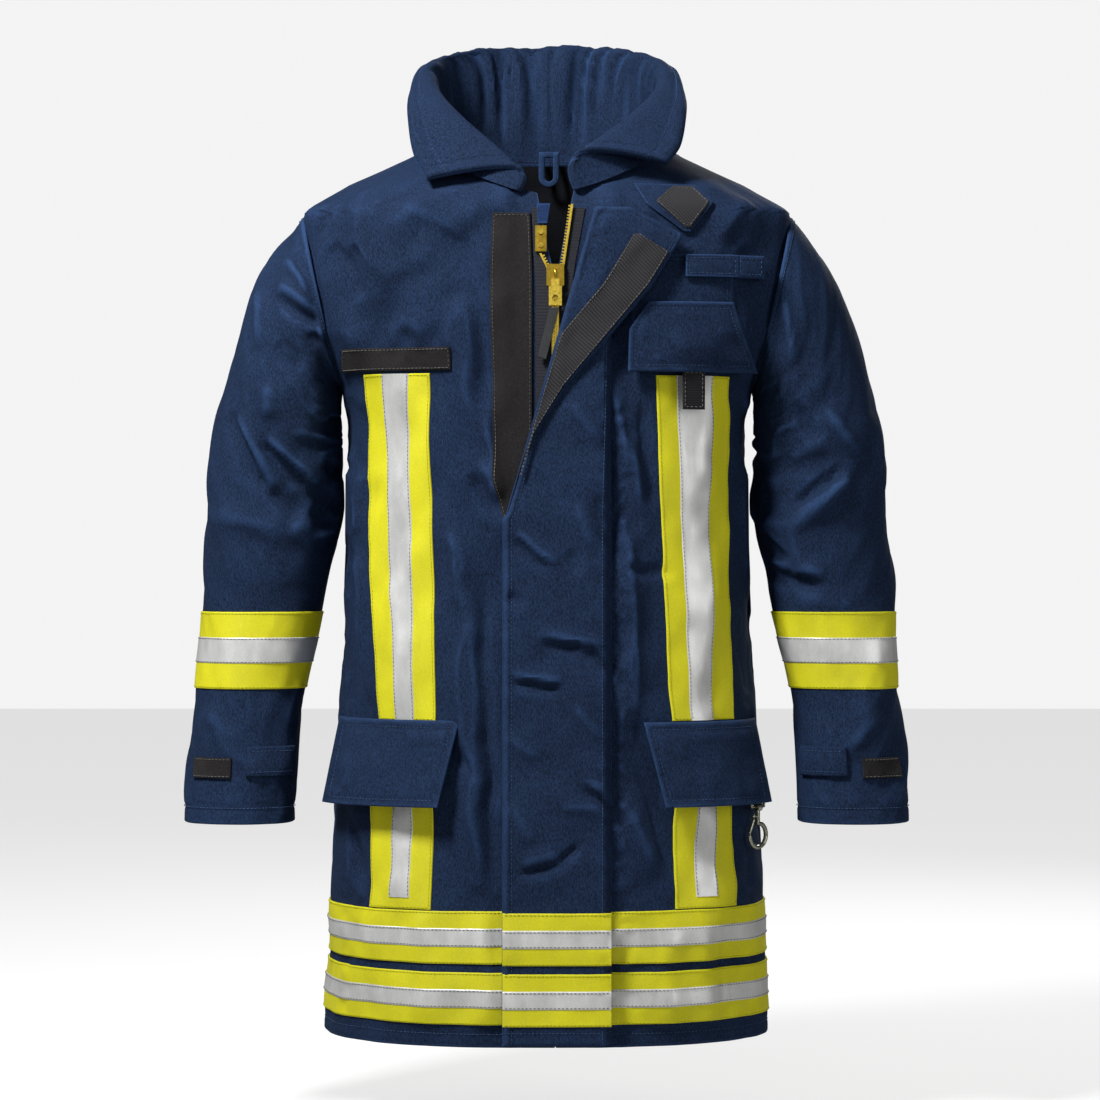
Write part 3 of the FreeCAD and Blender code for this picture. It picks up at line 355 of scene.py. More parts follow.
def pad(name, body, material, left, right, bottom, top, low, high, back=False, step=4.0, radius=1.6,
        groove=0.0, inset=7.0, puff=0.0, surface=None, replaces=(), thread=None, sides="lrbt"):
    """A sewn piece that follows the torso: padded, with rounded edges and a stitched line inside them.

    left and right are x by level, low and high the offsets of its two faces from the torso. surface adds
    folds of its own; without it the piece follows the shell's. sides names its free edges.
    """
    left, right, low, high = (as_function(v) for v in (left, right, low, high))
    z = bottom + spaced(top - bottom, step)
    width = float(np.max(right(z) - left(z)))
    u = spaced(width, step) / width
    X = left(z)[:, None] + (right(z) - left(z))[:, None] * u[None, :]
    Z = np.broadcast_to(z[:, None], X.shape).copy()

    def point(x, level, lift, top_side=True):
        gaps = {"l": x - left(level), "r": right(level) - x, "b": level - bottom, "t": top - level}
        distance = np.minimum.reduce([np.maximum(gaps[k], 0) for k in sides])
        base = high(level) if top_side else low(level)
        if top_side:
            base = base - rounding(distance, radius) + puff * (1 - np.exp(-distance / 14))
            base = base - groove * line_at(distance, inset, 2.0)
        if surface is None:
            turn = turn_at_x(x, level, 0, back)
            return torso(turn, level, base + relief(turn, level) + lift)
        offset = base + surface(x, level) + lift
        return torso(turn_at_x(x, level, offset, back), level, offset)

    outer, inner = point(X, Z, 0), point(X, Z, 0, False)
    if back:
        outer, inner = outer[:, ::-1], inner[:, ::-1]
    make(name, *thick(outer, inner), material, body, replaces)
    if thread:
        for edge in sides:
            inside = np.linspace(0, 1, 160)
            if edge in "bt":
                level = np.full_like(inside, bottom + inset if edge == "b" else top - inset)
                x = left(level) + inset + (right(level) - left(level) - 2 * inset) * inside
            else:
                level = bottom + inset + (top - bottom - 2 * inset) * inside
                x = left(level) + inset if edge == "l" else right(level) - inset
            line = point(x, level, 0.0)
            ahead = point(x + 1.0, level, 0.0) - line
            above = point(x, level + 1.0, 0.0) - line
            normal = np.cross(ahead, above) * (-1 if back else 1)
            stitches(line, normal, (body, thread))


# ---------------------------------------------------------------- materials

def nodes_of(name):
    """A new material, its node tree and its shader."""
    material = bpy.data.materials.new(name)
    material.use_nodes = True
    tree = material.node_tree
    return material, tree, tree.nodes["Principled BSDF"]


def add(tree, kind, inputs=(), **settings):
    """A node with its settings, and its inputs linked to sockets or set to values."""
    node = tree.nodes.new(kind)
    for key, value in settings.items():
        setattr(node, key, value)
    for key, value in dict(inputs).items():
        if isinstance(value, bpy.types.NodeSocket):
            tree.links.new(value, node.inputs[key])
        else:
            node.inputs[key].default_value = value
    return node


def place(tree, scale=(1, 1, 1)):
    coordinates = add(tree, "ShaderNodeTexCoord")
    return add(tree, "ShaderNodeMapping", {"Vector": coordinates.outputs["Object"],
                                           "Scale": scale}).outputs["Vector"]


def grain(tree, scale, detail, stretch=(1, 1, 1), **more):
    """The value of a noise texture."""
    inputs = {"Vector": place(tree, stretch), "Scale": scale, "Detail": detail}
    return add(tree, "ShaderNodeTexNoise", {**inputs, **more}).outputs["Fac"]


def wave(tree, pitch, distortion, direction, stretch=(1, 1, 1), factor=0.32):
    """The value of a wave texture with its crests pitch millimetres apart."""
    return add(tree, "ShaderNodeTexWave", {"Vector": place(tree, stretch), "Scale": factor / (pitch * MM),
                                           "Distortion": distortion, "Detail": 1.0},
               bands_direction=direction).outputs["Fac"]


def mapped(tree, value, low, high, **more):
    inputs = {"Value": value, "From Min": low, "From Max": high}
    return add(tree, "ShaderNodeMapRange", {**inputs, **more}).outputs["Result"]


def mix_colour(tree, factor, a, b):
    return add(tree, "ShaderNodeMix", {0: factor, 6: a, 7: b}, data_type="RGBA").outputs[2]


def clamped(tree, value):
    return add(tree, "ShaderNodeClamp", {"Value": value}).outputs[0]


def wire(tree, shader, colour, height, strength, depth, inputs):
    """Connect a material's colour and its bump of a depth in millimetres, and set its other inputs."""
    tree.links.new(colour, shader.inputs["Base Color"])
    shape = add(tree, "ShaderNodeBump", {"Height": height, "Strength": strength, "Distance": depth * MM})
    tree.links.new(shape.outputs["Normal"], shader.inputs["Normal"])
    for key, value in inputs.items():
        shader.inputs[key].default_value = value


def maths(tree, kind, *values):
    return add(tree, "ShaderNodeMath", dict(enumerate(values)), operation=kind).outputs[0]


def linear(r, g, b):
    """A linear colour from its usual 0 to 255 values."""
    def one(v):
        v /= 255
        return v / 12.92 if v <= 0.04045 else ((v + 0.055) / 1.055) ** 2.4

    return (one(r), one(g), one(b), 1)


def fabric(name, dark, light, thread=0.9, sheen=0.05, edge_wear_and_highlight=0.5):
    """Woven cloth: crossing threads, heathered colour, edges painted lighter (partly rubbed wear, partly a
    painted highlight) and a soft sheen.
    """
    material, tree, shader = nodes_of(name)
    warp, weft = wave(tree, thread, 0.6, "X", (1, 0.8, 0)), wave(tree, thread, 0.6, "Z")
    speckle = grain(tree, 760.0, 3.0, (1, 1, 0.45), Roughness=0.75)
    cloud = grain(tree, 14.0, 4.0)
    # Convex edges and seam ridges are painted lighter: partly rubbed wear, partly a painted highlight.
    edge_lightening = mapped(tree, add(tree, "ShaderNodeNewGeometry").outputs["Pointiness"], 0.505, 0.56)
    weave = maths(tree, "MULTIPLY", warp, weft)
    tone = maths(tree, "MULTIPLY_ADD", speckle, 1.5, maths(tree, "MULTIPLY", weave, 0.3))
    tone = maths(tree, "MULTIPLY_ADD", cloud, 0.2, maths(tree, "SUBTRACT", tone, 0.64))
    tone = maths(tree, "MULTIPLY_ADD", edge_lightening, edge_wear_and_highlight, tone)
    height = maths(tree, "ADD", weave, maths(tree, "MULTIPLY", speckle, 0.6))
    wire(tree, shader, mix_colour(tree, clamped(tree, tone), dark, light), height, 0.6, 0.35,
         {"Roughness": 0.85, "Sheen Weight": sheen, "Sheen Roughness": 0.45, "Sheen Tint": light,
          "Specular IOR Level": 0.12})
    return material


def tape(name, dark, light, metal=0.0, roughness=0.55, glow=0.0, cells=700.0, coat=0.0):
    """Woven or beaded tape: fine cells, scuffs, soft creases."""
    material, tree, shader = nodes_of(name)
    cell = add(tree, "ShaderNodeTexVoronoi", {"Vector": place(tree), "Scale": cells}).outputs["Distance"]
    scuff = grain(tree, 60.0, 6.0, (1, 1, 0.3), Roughness=0.65)
    cloud = grain(tree, 18.0, 3.0)
    tone = maths(tree, "MULTIPLY_ADD", scuff, 0.7, maths(tree, "MULTIPLY", cell, 0.35))
    tone = maths(tree, "MULTIPLY_ADD", cloud, 0.7, maths(tree, "SUBTRACT", tone, 0.45))
    colour = mix_colour(tree, clamped(tree, tone), dark, light)
    rough = mapped(tree, scuff, 0.3, 0.7, **{"To Min": roughness - 0.12, "To Max": roughness + 0.12})
    tree.links.new(rough, shader.inputs["Roughness"])
    wire(tree, shader, colour, tone, 0.25, 0.3, {"Metallic": metal, "Coat Weight": coat})
    if glow:
        tree.links.new(colour, shader.inputs["Emission Color"])
        shader.inputs["Emission Strength"].default_value = glow
    return material


def metal(name, dark, light, roughness=0.3):
    """Worn metal, brighter on its edges."""
    material, tree, shader = nodes_of(name)
    scratch = grain(tree, 350.0, 5.0)
    edge_lightening = mapped(tree, add(tree, "ShaderNodeNewGeometry").outputs["Pointiness"], 0.45, 0.58)
    tone = maths(tree, "MULTIPLY", scratch, maths(tree, "ADD", edge_lightening, 0.55))
    rough = mapped(tree, scratch, 0.0, 1.0, **{"To Min": roughness - 0.1, "To Max": roughness + 0.2})
    tree.links.new(rough, shader.inputs["Roughness"])
    colour = mix_colour(tree, clamped(tree, tone), dark, light)
    wire(tree, shader, colour, scratch, 0.2, 0.2, {"Metallic": 1.0})
    return material


def pile(name, dark, light, scale):
    """Loop tape: a thick pile of short fibres with scattered glints."""
    material, tree, shader = nodes_of(name)
    fibre = grain(tree, scale, 3.0, Roughness=0.75, Distortion=1.4)
    wire(tree, shader, mix_colour(tree, mapped(tree, fibre, 0.42, 0.72), dark, light), fibre, 0.9, 0.9,
         {"Roughness": 0.6, "Sheen Weight": 0.04, "Specular IOR Level": 0.2})
    return material


def ribbed(name, dark, light, pitch, direction="X"):
    """Ribs: knitted cuffs, webbing and the rows of hook tape."""
    material, tree, shader = nodes_of(name)
    rib = wave(tree, pitch, 0.8, direction, factor=0.314)
    tone = maths(tree, "MULTIPLY_ADD", rib, 0.6, maths(tree, "MULTIPLY", grain(tree, 1100.0, 2.0), 0.4))
    wire(tree, shader, mix_colour(tree, tone, dark, light), tone, 0.8, 0.6,
         {"Roughness": 0.75, "Sheen Weight": 0.05, "Specular IOR Level": 0.2})
    return material


NAVY = fabric("navy_fabric", linear(8, 16, 32), linear(41, 65, 103), 1.0)
LINING = fabric("lining", linear(8, 9, 13), linear(24, 26, 34), 1.2, sheen=0.1, edge_wear_and_highlight=0.2)
YELLOW = tape("fluorescent_tape", linear(172, 168, 0), linear(212, 206, 0), roughness=0.75, glow=0.07)
SILVER = tape("silver_tape", linear(168, 169, 168), linear(238, 238, 236), metal=0.35, roughness=0.42,
              cells=1500.0, coat=0.1)
LOOP = pile("loop_tape", linear(3, 3, 4), linear(46, 40, 40), 950.0)
HOOK = ribbed("hook_tape", linear(9, 9, 11), linear(54, 53, 56), 2.1, "DIAGONAL")
WEB = ribbed("black_webbing", linear(7, 7, 9), linear(36, 36, 40), 1.6, "Z")
ZIP_TAPE = ribbed("zip_webbing", linear(12, 13, 17), linear(48, 50, 58), 1.4, "Z")
KNIT = ribbed("knit", linear(10, 12, 20), linear(38, 44, 62), 3.2, "X")
BRASS = metal("brass", linear(120, 90, 14), linear(236, 206, 84), 0.3)
NICKEL = metal("nickel", linear(88, 88, 74), linear(214, 212, 190), 0.25)
RUBBER = tape("pull_rubber", linear(10, 10, 12), linear(52, 54, 58), roughness=0.5, cells=500.0)
NAVY_THREAD = fabric("navy_thread", linear(34, 50, 78), linear(84, 110, 150), 0.5)
YELLOW_THREAD = fabric("yellow_thread", linear(150, 156, 0), linear(208, 210, 40), 0.5)
GREY_THREAD = fabric("grey_thread", linear(70, 72, 70), linear(150, 150, 146), 0.5)
GUARD_BLUE = fabric("guard_cloth", linear(18, 34, 66), linear(44, 70, 116), 0.8)
THREADS = {"navy": NAVY_THREAD, "yellow": YELLOW_THREAD, "grey": GREY_THREAD}


# ---------------------------------------------------------------- torso

def armhole_x(z):
    """The armhole's x, and a number too large to matter at levels without an armhole."""
    return np.where((z > ARM_LOW) & (z <= ARM_HIGH), armhole_line(z), 1e3)


def torso_sheet(side, low, high, top, step, quilt=0.0):
    """The outer and inner points of one panel of the body. side is 1 or -1 for a front, 0 for the back.

    low and high are the offsets of its faces from the torso, quilt the depth of its inner face's quilting.
    """
    z = spaced(top, step)
    share = spaced(560, step) / 560
    wide = torso_at(z)[0]
    seam = turn_at_y(12.0 + (0.3 if side == 0 else -0.3), z)
    cut = armhole_x(z)
    cut_turn = turn_at_x(np.minimum(cut, wide), z, 0, back=(side == 0))
    if side == 0:
        first = np.where(cut < wide, np.maximum(seam, cut_turn), seam)
        last = 180 - first
    else:
        last = np.where(cut < wide, np.minimum(seam, cut_turn), seam)
        spread = 0.5 + 0.2 * np.maximum(z - ZIP_JOIN, 0)
        first = turn_at_x(side * ZIP_X + spread, z)
        for _ in range(400):
            point = torso(first, z, 0)
            inside = (point[:, 0] / NECK_X) ** 2 + ((point[:, 1] - NECK_MIDDLE) / NECK_Y) ** 2 < 1
            first = np.where(inside & (z > 800) & (first < -2), first + 0.25, first)
    T = first[:, None] + (last - first)[:, None] * share[None, :]
    Z = np.broadcast_to(z[:, None], T.shape)
    real = T if side >= 0 else -180 - T
    fold = relief(real, Z)
    points = torso(T, Z, 0)
    gap = np.linalg.norm(np.diff(points, axis=1), axis=2)
    from_left = np.concatenate((np.zeros((len(z), 1)), np.cumsum(gap, axis=1)), 1)
    edges = (from_left, from_left[:, -1:] - from_left) if side == 0 else (from_left[:, -1:] - from_left,)
    seam_gap = np.minimum.reduce(edges)
    outer_off = high + fold - rounding(seam_gap, 1.2) - rounding(Z, 1.5)
    outer_off = outer_off - 0.9 * line_at(Z, HEM_SEAM, 2.2)
    outer_off = outer_off - 0.8 * line_at(seam_gap, 7, 2.2)
    inner_off = low + np.minimum(fold, 3.0) * 0.8
    if quilt:
        across = (T * 3.4 + Z) / 46
        other = (T * 3.4 - Z) / 46
        channel = np.minimum(np.abs(across - np.round(across)), np.abs(other - np.round(other)))
        inner_off = inner_off - quilt * (smooth(0, 0.22, channel) - 1)
        inner_off = np.minimum(inner_off, low + np.minimum(fold, 3.0) * 0.8 + quilt)
    outer, inner = torso(T, Z, outer_off), torso(T, Z, inner_off)
    if side < 0:
        outer[..., 0] *= -1
        inner[..., 0] *= -1
        outer, inner = outer[:, ::-1], inner[:, ::-1]
    return outer, inner


for side, name in ((1, "front_left"), (-1, "front_right"), (0, "back")):
    outer, inner = torso_sheet(side, -3, 0, SHOULDER_TOP, 4.0)
    make("shell_" + name, *thick(outer, inner), NAVY, BODY, ["outer_shell_" + name])
    normals = grid_normals(outer)
    hem_row = int(np.argmin(np.abs(outer[:, 5, 2] - HEM_SEAM)))
    stitches(outer[hem_row], normals[hem_row], (BODY, "navy"))
    lined, lining = torso_sheet(side, -10, -7, SHOULDER_TOP - 3, 9.0, quilt=1.2)
    make("lining_" + name, *thick(lined, lining), LINING, BODY, ["thermal_lining"] if side == 0 else [])
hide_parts("moisture_barrier", "pocket_bags")


# ---------------------------------------------------------------- bands of tape

def tape_piece(name, material, left, right, bottom, top, low, high, back=False, surface=None,
               replaces=(), inset=1.8, sides="lrbt"):
    """A straight piece of trim tape on the body."""
    pad(name, BODY, material, left, right, bottom, top, low, high, back, 5.0, 0.5, 0, inset, surface=surface,
        replaces=replaces, thread="yellow" if material is YELLOW else "grey", sides=sides)


def hem_loop(name, material, bottom, height, low, high, replaces=()):
    """A band round the hem from one edge of the storm flap to the other."""
    z = bottom + spaced(height, 4.0, (0, 0.5, 1.5))
    ends = turn_at_x(FLAP_SEAM - 1.5, z), turn_at_x(FREE_EDGE + 2.0, z) + 360
    share = np.linspace(0, 1, 260)
    T = ends[0][:, None] + (ends[1] - ends[0])[:, None] * share
    Z = np.broadcast_to(z[:, None], T.shape)
    real = np.where(T > 180, T - 360, T)
    fold = relief(real, Z)
    gap = np.minimum(Z - bottom, bottom + height - Z)
    outer = torso(T, Z, high + fold - rounding(gap, 0.4))
    inner = torso(T, Z, low + fold)
    make(name, *thick(outer, inner), material, BODY, replaces)
    normals = grid_normals(outer)
    for row in (2, len(z) - 3):
        stitches(outer[row], normals[row], (BODY, "yellow" if material is YELLOW else "grey"))


for bottom, band, yellow, grey in ((22, "lower", ["hem_tapes"], ["hem_tape_silver"]), (80, "upper", [], [])):
    ends = FREE_EDGE + 0.4, FLAP_SEAM - 0.5
    hem_loop(f"hem_band_{band}", YELLOW, bottom, 50, 0.3, 1.5, yellow)
    hem_loop(f"hem_silver_{band}", SILVER, bottom + 16.2, 17.6, 1.4, 2.1, grey)
    tape_piece(f"flap_band_{band}", YELLOW, *ends, bottom, bottom + 50, FLAP_TOP - 1, FLAP_TOP + 1.2,
               surface=flap_relief, sides="bt")
    tape_piece(f"flap_silver_{band}", SILVER, *ends, bottom + 16.2, bottom + 33.8, FLAP_TOP, FLAP_TOP + 1.8,
               surface=flap_relief, sides="bt")

# The upright tapes: left x at bottom and top, right x at bottom and top, bottom, top, whether on the back.
STRIPS = {
    "right_upper": ((-163, -178), (-105, -113), 312, 648, False),
    "right_lower": ((-169, -169), (-110, -110), 131, 245, False),
    "left_upper": ((119, 104), (180, 178), 312, 646, False),
    "left_lower": ((123, 123), (182, 182), 131, 245, False),
    "back_right": ((-168, -168), (-108, -108), 131, 690, True),
    "back_left": ((108, 108), (168, 168), 131, 690, True),
}
for name, (left, right, bottom, top, behind) in STRIPS.items():
    first = name == "right_upper"
    left_line, right_line = (((bottom, e[0]), (top, e[1])) for e in (left, right))
    tape_piece("strip_" + name, YELLOW, left_line, right_line, bottom, top, 0.3, 1.5, behind,
               replaces=["vertical_tapes"] if first else ())
    left_line, right_line = (((bottom - 40, e[0] + s), (top, e[1] + s))
                             for e, s in ((left, 20), (right, -20)))
    low_end = 142 if name.endswith("lower") and not behind else bottom
    tape_piece("silver_" + name, SILVER, left_line, right_line, low_end, top, 1.4, 2.1, behind,
               replaces=["vertical_tape_silver"] if first else (), inset=1.2, sides="lr")

pad("name_strip", BODY, LOOP, -200, -90, 651, 673, 0.4, 2.6, step=2.5, radius=0.8, inset=2,
    replaces=["name_loop_strip"], thread="grey")


# ---------------------------------------------------------------- storm flap, lapel and closure tapes

def fold_x(z):
    """The x of the line along which the lapel folds back."""
    return -40 + (z - 510) * 87 / 302


def storm_flap():
    """The padded flap over the zip, with a rolled free edge and a stitched seam."""
    bottom, wide = 3, FLAP_SEAM - FREE_EDGE
    z = bottom + spaced(805, 4.0)
    left = np.where(z > 509, np.maximum(FREE_EDGE, fold_x(z)), FREE_EDGE)
    u = spaced(wide, 3.2, (0, 0.6, 1.6, 3.0, 5.0, 7.0, 9.0)) / wide
    X = left[:, None] + (FLAP_SEAM - left)[:, None] * u
    Z = np.broadcast_to(z[:, None], X.shape)
    fold = flap_relief(X, Z)
    from_left, from_right = X - left[:, None], FLAP_SEAM - X
    top = FLAP_TOP + 1.2 * line_at(from_left, 4, 4)
    top = top - rounding(np.minimum(from_left, Z - bottom), 4.2)
    top = top - 0.9 * line_at(from_left, 9, 2.2) - 0.9 * line_at(Z, 17, 2.2)
    top = top - 14.5 * (1 - smooth(-1, 9, from_right)) - 0.8 * line_at(from_right, 9.5, 2)
    outer = on_front(X, Z, top + fold)
    low = np.minimum(np.where(from_right < 12, 0.3, np.where(from_left > 24, 12.4, 5.0)), top + fold - 1)
    inner = on_front(X, Z, low)
    make("storm_flap", *thick(outer, inner), NAVY, BODY, ["storm_flap"])
    normals = grid_normals(outer)
    for x in (9, 95.5):
        column = int(np.argmin(np.abs(u * wide - x)))
        stitches(outer[:, column], normals[:, column], (BODY, "navy"))
    row = int(np.argmin(np.abs(z - 17)))
    stitches(outer[row], normals[row], (BODY, "navy"))


storm_flap()
pad("flap_hook_strip", BODY, HOOK, -41, -19, 135, 500, 2.9, 4.6, step=6, radius=0.5, surface=calm,
    replaces=["storm_flap_hook_tape"])
pad("placket_loop", BODY, LOOP, ((133, -38), (500, -40), (545, -50), (742, -54), (803, -52)),
    ((133, -14), (742, -14), (803, -16)), 133, 803, 0.2, 2.9, step=5, radius=0.9, inset=2.2,
    replaces=["placket_loop_tape"], thread="grey")

LAPEL_LOW, LAPEL_HIGH = 513, 808
LAPEL_EDGE = np.array(((LAPEL_LOW, -37), (545, -30), (586, -12), (634, 19), (682, 60), (731, 101), (781, 132),
                       (LAPEL_HIGH, 80)))


def lapel_shape(z):
    """The x of the lapel's outer edge."""
    return np.maximum(np.interp(z, LAPEL_EDGE[:, 0], LAPEL_EDGE[:, 1]), fold_x(z) + 2)


def lapel_relief(x, z):
    fold = 1.2 * noise(x / 31, z / 35, 31) + 0.5 * noise(x / 14, z / 12, 32)
    fold = fold + strokes(x, z, (
        (30, 700, 60, 760, 9, 1.6), (0, 640, 30, 690, 8, -1.2), (60, 740, 100, 790, 10, 1.4),
        (68, 818, 44, 786, 5, -3.0), (60, 822, 50, 780, 7, 2.4), (44, 786, 30, 735, 6, -2.0),
        (90, 802, 112, 788, 8, 1.6), (20, 690, 12, 640, 7, 1.6)))
    return np.clip(fold, -2.4, 3.4) * smooth(0, 10, x - fold_x(z))


def lapel():
    """The upper part of the storm flap, folded outwards, so its inner face shows."""
    z = LAPEL_LOW + spaced(LAPEL_HIGH - LAPEL_LOW, 3.5)
    left, right = fold_x(z) + 0.5, lapel_shape(z)
    u = spaced(150, 4.0, (0, 0.6, 1.6, 3.2, 5.4, 8.0)) / 150
    X = left[:, None] + (right - left)[:, None] * u
    Z = np.broadcast_to(z[:, None], X.shape)
    fold = lapel_relief(X, Z)
    slope = np.hypot(1, np.gradient(right, z))[:, None]
    from_right = (right[:, None] - X) / slope
    gap = np.minimum.reduce((from_right, np.maximum(LAPEL_HIGH - Z, 0)))
    top = 20.4 + fold - rounding(gap, 3.6) - rounding(X - left[:, None], 3.6)
    top = top - 0.7 * line_at(gap, 5.0, 1.6)
    low = np.minimum(16.4 + 0.5 * np.maximum(fold, 0), top - 0.3)
    make("lapel", *thick(on_front(X, Z, top), on_front(X, Z, low)), NAVY, "lapel", ["storm_flap_lapel"])
    share = np.linspace(0, 1, 300)
    line_z = 516 + 260 * share
    line_x = lapel_shape(line_z) - 5 * np.hypot(1, np.interp(line_z, z, np.gradient(right, z)))
    keep = line_x > fold_x(line_z) + 2
    off = 20.2 + lapel_relief(line_x, line_z)
    line = on_front(line_x, line_z, off)[keep]
    stitches(line, np.broadcast_to((0, -1, 0.05), line.shape), ("lapel", "navy"))


lapel()


def lapel_hook():
    """The hook tape along the lapel's outer edge, cut on a slant at its top."""
    low_end, top_end, wide = 548, 781, 44
    z = low_end + spaced(top_end - low_end, 3.0)
    right = lapel_shape(z) - 3.5 * np.hypot(1, np.gradient(lapel_shape(z), z))
    left = np.maximum(fold_x(z) + 3, right - wide)
    right = np.minimum(right, 119 - 1.7 * np.maximum(z - 763, 0))
    u = spaced(wide, 3.0, (0, 0.5, 1.4)) / wide
    X = left[:, None] + np.maximum(right - left, 1)[:, None] * u
    Z = np.broadcast_to(z[:, None], X.shape)
    gap = np.minimum.reduce((X - left[:, None], right[:, None] - X, Z - low_end, top_end - Z))
    top = 22.4 + lapel_relief(X, Z) - rounding(np.maximum(gap, 0), 0.8)
    low = 19.8 + lapel_relief(X, Z)
    outer, inner = on_front(X, Z, top), on_front(X, Z, low)
    make("lapel_hook_tape", *thick(outer, inner), HOOK, "lapel", ["lapel_hook_tape"])
    normals = grid_normals(outer)
    for column in (2, -3):
        stitches(outer[:, column], normals[:, column], ("lapel", "grey"))


lapel_hook()


# ---------------------------------------------------------------- pockets

def flare(top, bottom, lift):
    """The height of a pocket flap, which stands off the coat towards its lower edge."""
    return lambda z: 2.8 + (20.0 - 2.8) * np.clip((top - z) / (top - bottom), 0, 1) + lift


def flap_folds(seed, amount=1.0):
    """Seeded soft folds for a flap or a pocket."""
    def folds(x, z):
        height = 1.0 * noise(x / 33, z / 27, seed) + 0.6 * noise(x / 13, z / 15, seed + 1)
        return np.clip(amount * (height + 1.2 * noise(x / 60, z / 60, seed + 2)), -1.2, 4.0)

    return folds


for side, left, right, top, seed in (
        ("right", ((230, -221), (313, -205)), ((230, -105), (313, -84)), 313, 41),
        ("left", ((230, 114), (311, 93)), ((230, 221), (311, 206)), 311, 45)):
    bottom = 230
    pad(f"pocket_flap_{side}", "flap_" + side, NAVY, left, right, bottom, top, flare(top, bottom, 0),
        flare(top, bottom, 4.0), step=3.0, radius=1.9, groove=1.0, inset=7, puff=1.4,
        surface=flap_folds(seed, 1.9), replaces=["pocket_flap_" + side], thread="navy")
    s = -1 if side == "right" else 1
    ends = sorted((s * 190, s * 130))
    pad(f"flap_hook_{side}", "flap_" + side, HOOK, ends[0], ends[1], 240, 262, flare(313, 230, -1.8),
        flare(313, 230, -0.3), step=4, radius=0.4, surface=calm, replaces=["flap_hook_patch_" + side])
    pad(f"pocket_loop_{side}", BODY, LOOP, ends[0], ends[1], 247, 262, 1.6, 4.0, step=4,
        radius=0.6, replaces=["flap_loop_patches"] if s > 0 else ())

pad("radio_bag", BODY, NAVY, ((655, 82), (764, 80)), 181, 655, 764, 0.3, 7.2, step=3.0, radius=3.0,
    groove=0.8, inset=6, puff=1.2, surface=lambda x, z: 0.4 * flap_folds(51)(x, z), replaces=["radio_pocket"],
    thread="navy")
pad("radio_flap", "radio_flap", NAVY, ((649, 78), (690, 79), (717, 98)),
    ((649, 206), (690, 190), (717, 181)), 649, 717, 10.8, 14.8, step=3.0, radius=1.8, groove=0.9, inset=6.5,
    surface=lambda x, z: flap_folds(55, 1.8)(x, z) + 4.5 * smooth(168, 206, x) * smooth(690, 650, z),
    replaces=["radio_pocket_flap"], thread="navy")
pad("radio_tab", "radio_flap", WEB, 131, 153, 613, 651, 11.0, 13.6, step=3.0, radius=0.9,
    inset=2.5, surface=calm, replaces=["radio_pull_tab"], thread="grey")
pad("mic_strap", BODY, NAVY, 134, 186, 741, 763, 9.6, 13.2, step=3.0, radius=1.5, groove=0.6,
    inset=3.5, surface=calm, replaces=["mic_strap"], thread="navy")
pad("mic_strap_end", BODY, NAVY, 184.2, 212, 741, 763, 1.0, 12.6, step=3.0, radius=3.0,
    groove=0.6, inset=3.5, surface=calm, thread="navy")
pad("throat_tab_cloth", "throat_strap", NAVY, ((785, 132), (812, 96), (833, 84)),
    ((785, 139), (815, 162), (833, 144)), 785, 833, 3.0, 8.4, step=2.5, radius=1.4, surface=calm,
    replaces=["throat_tab"])
pad("throat_hook", "throat_strap", HOOK, ((789, 134), (815, 105), (831, 122)),
    ((789, 139), (815, 158), (831, 142)), 789, 831, 7.8, 10.0, step=2.5, radius=0.7, inset=2.2, surface=calm,
    replaces=["throat_tab_hook_patch"], thread="grey")


# ---------------------------------------------------------------- collar

COLLAR = {
    # degrees round the neck: roll line x, y, z, then free edge x, y, z
    0: (0, 94, 972, 0, 101, 985), 30: (54, 86, 971, 56, 93, 983), 60: (95, 48, 962, 101, 53, 971),
    90: (113, -6, 944, 130, -8, 948), 110: (104, -44, 922, 137, -46, 922), 130: (84, -76, 898, 136, -76, 896),
    150: (58, -96, 872, 130, -93, 862), 168: (34, -110, 846, 117, -104, 836),
}
COLLAR_END = 168


def torso_height(x, y):
    """The level at which the torso's surface passes through x and y, near the shoulders and neck."""
    low, high = np.full_like(x, 742.0), np.full_like(x, 872.0)
    for _ in range(16):
        level = (low + high) / 2
        wide, deep, middle, square = torso_at(level)
        inside = (np.abs(x) / wide) ** square + (np.abs(y - middle) / deep) ** square < 1
        low, high = np.where(inside, level, low), np.where(inside, high, level)
    return high


def curve_between(table, at):
    """A smooth curve through rows of (position, values), read at each position."""
    keys = np.array(sorted(table))
    rows = np.array([table[k] for k in keys], float)
    slope = np.gradient(rows, keys, axis=0)
    index = np.clip(np.searchsorted(keys, at, side="right") - 1, 0, len(keys) - 2)
    gap = (keys[index + 1] - keys[index])[:, None]
    t = (at[:, None] - keys[index][:, None]) / gap
    a, b, da, db = rows[index], rows[index + 1], slope[index] * gap, slope[index + 1] * gap
    return ((2 * t ** 3 - 3 * t ** 2 + 1) * a + (t ** 3 - 2 * t ** 2 + t) * da + (3 * t ** 2 - 2 * t ** 3) * b
            + (t ** 3 - t ** 2) * db)


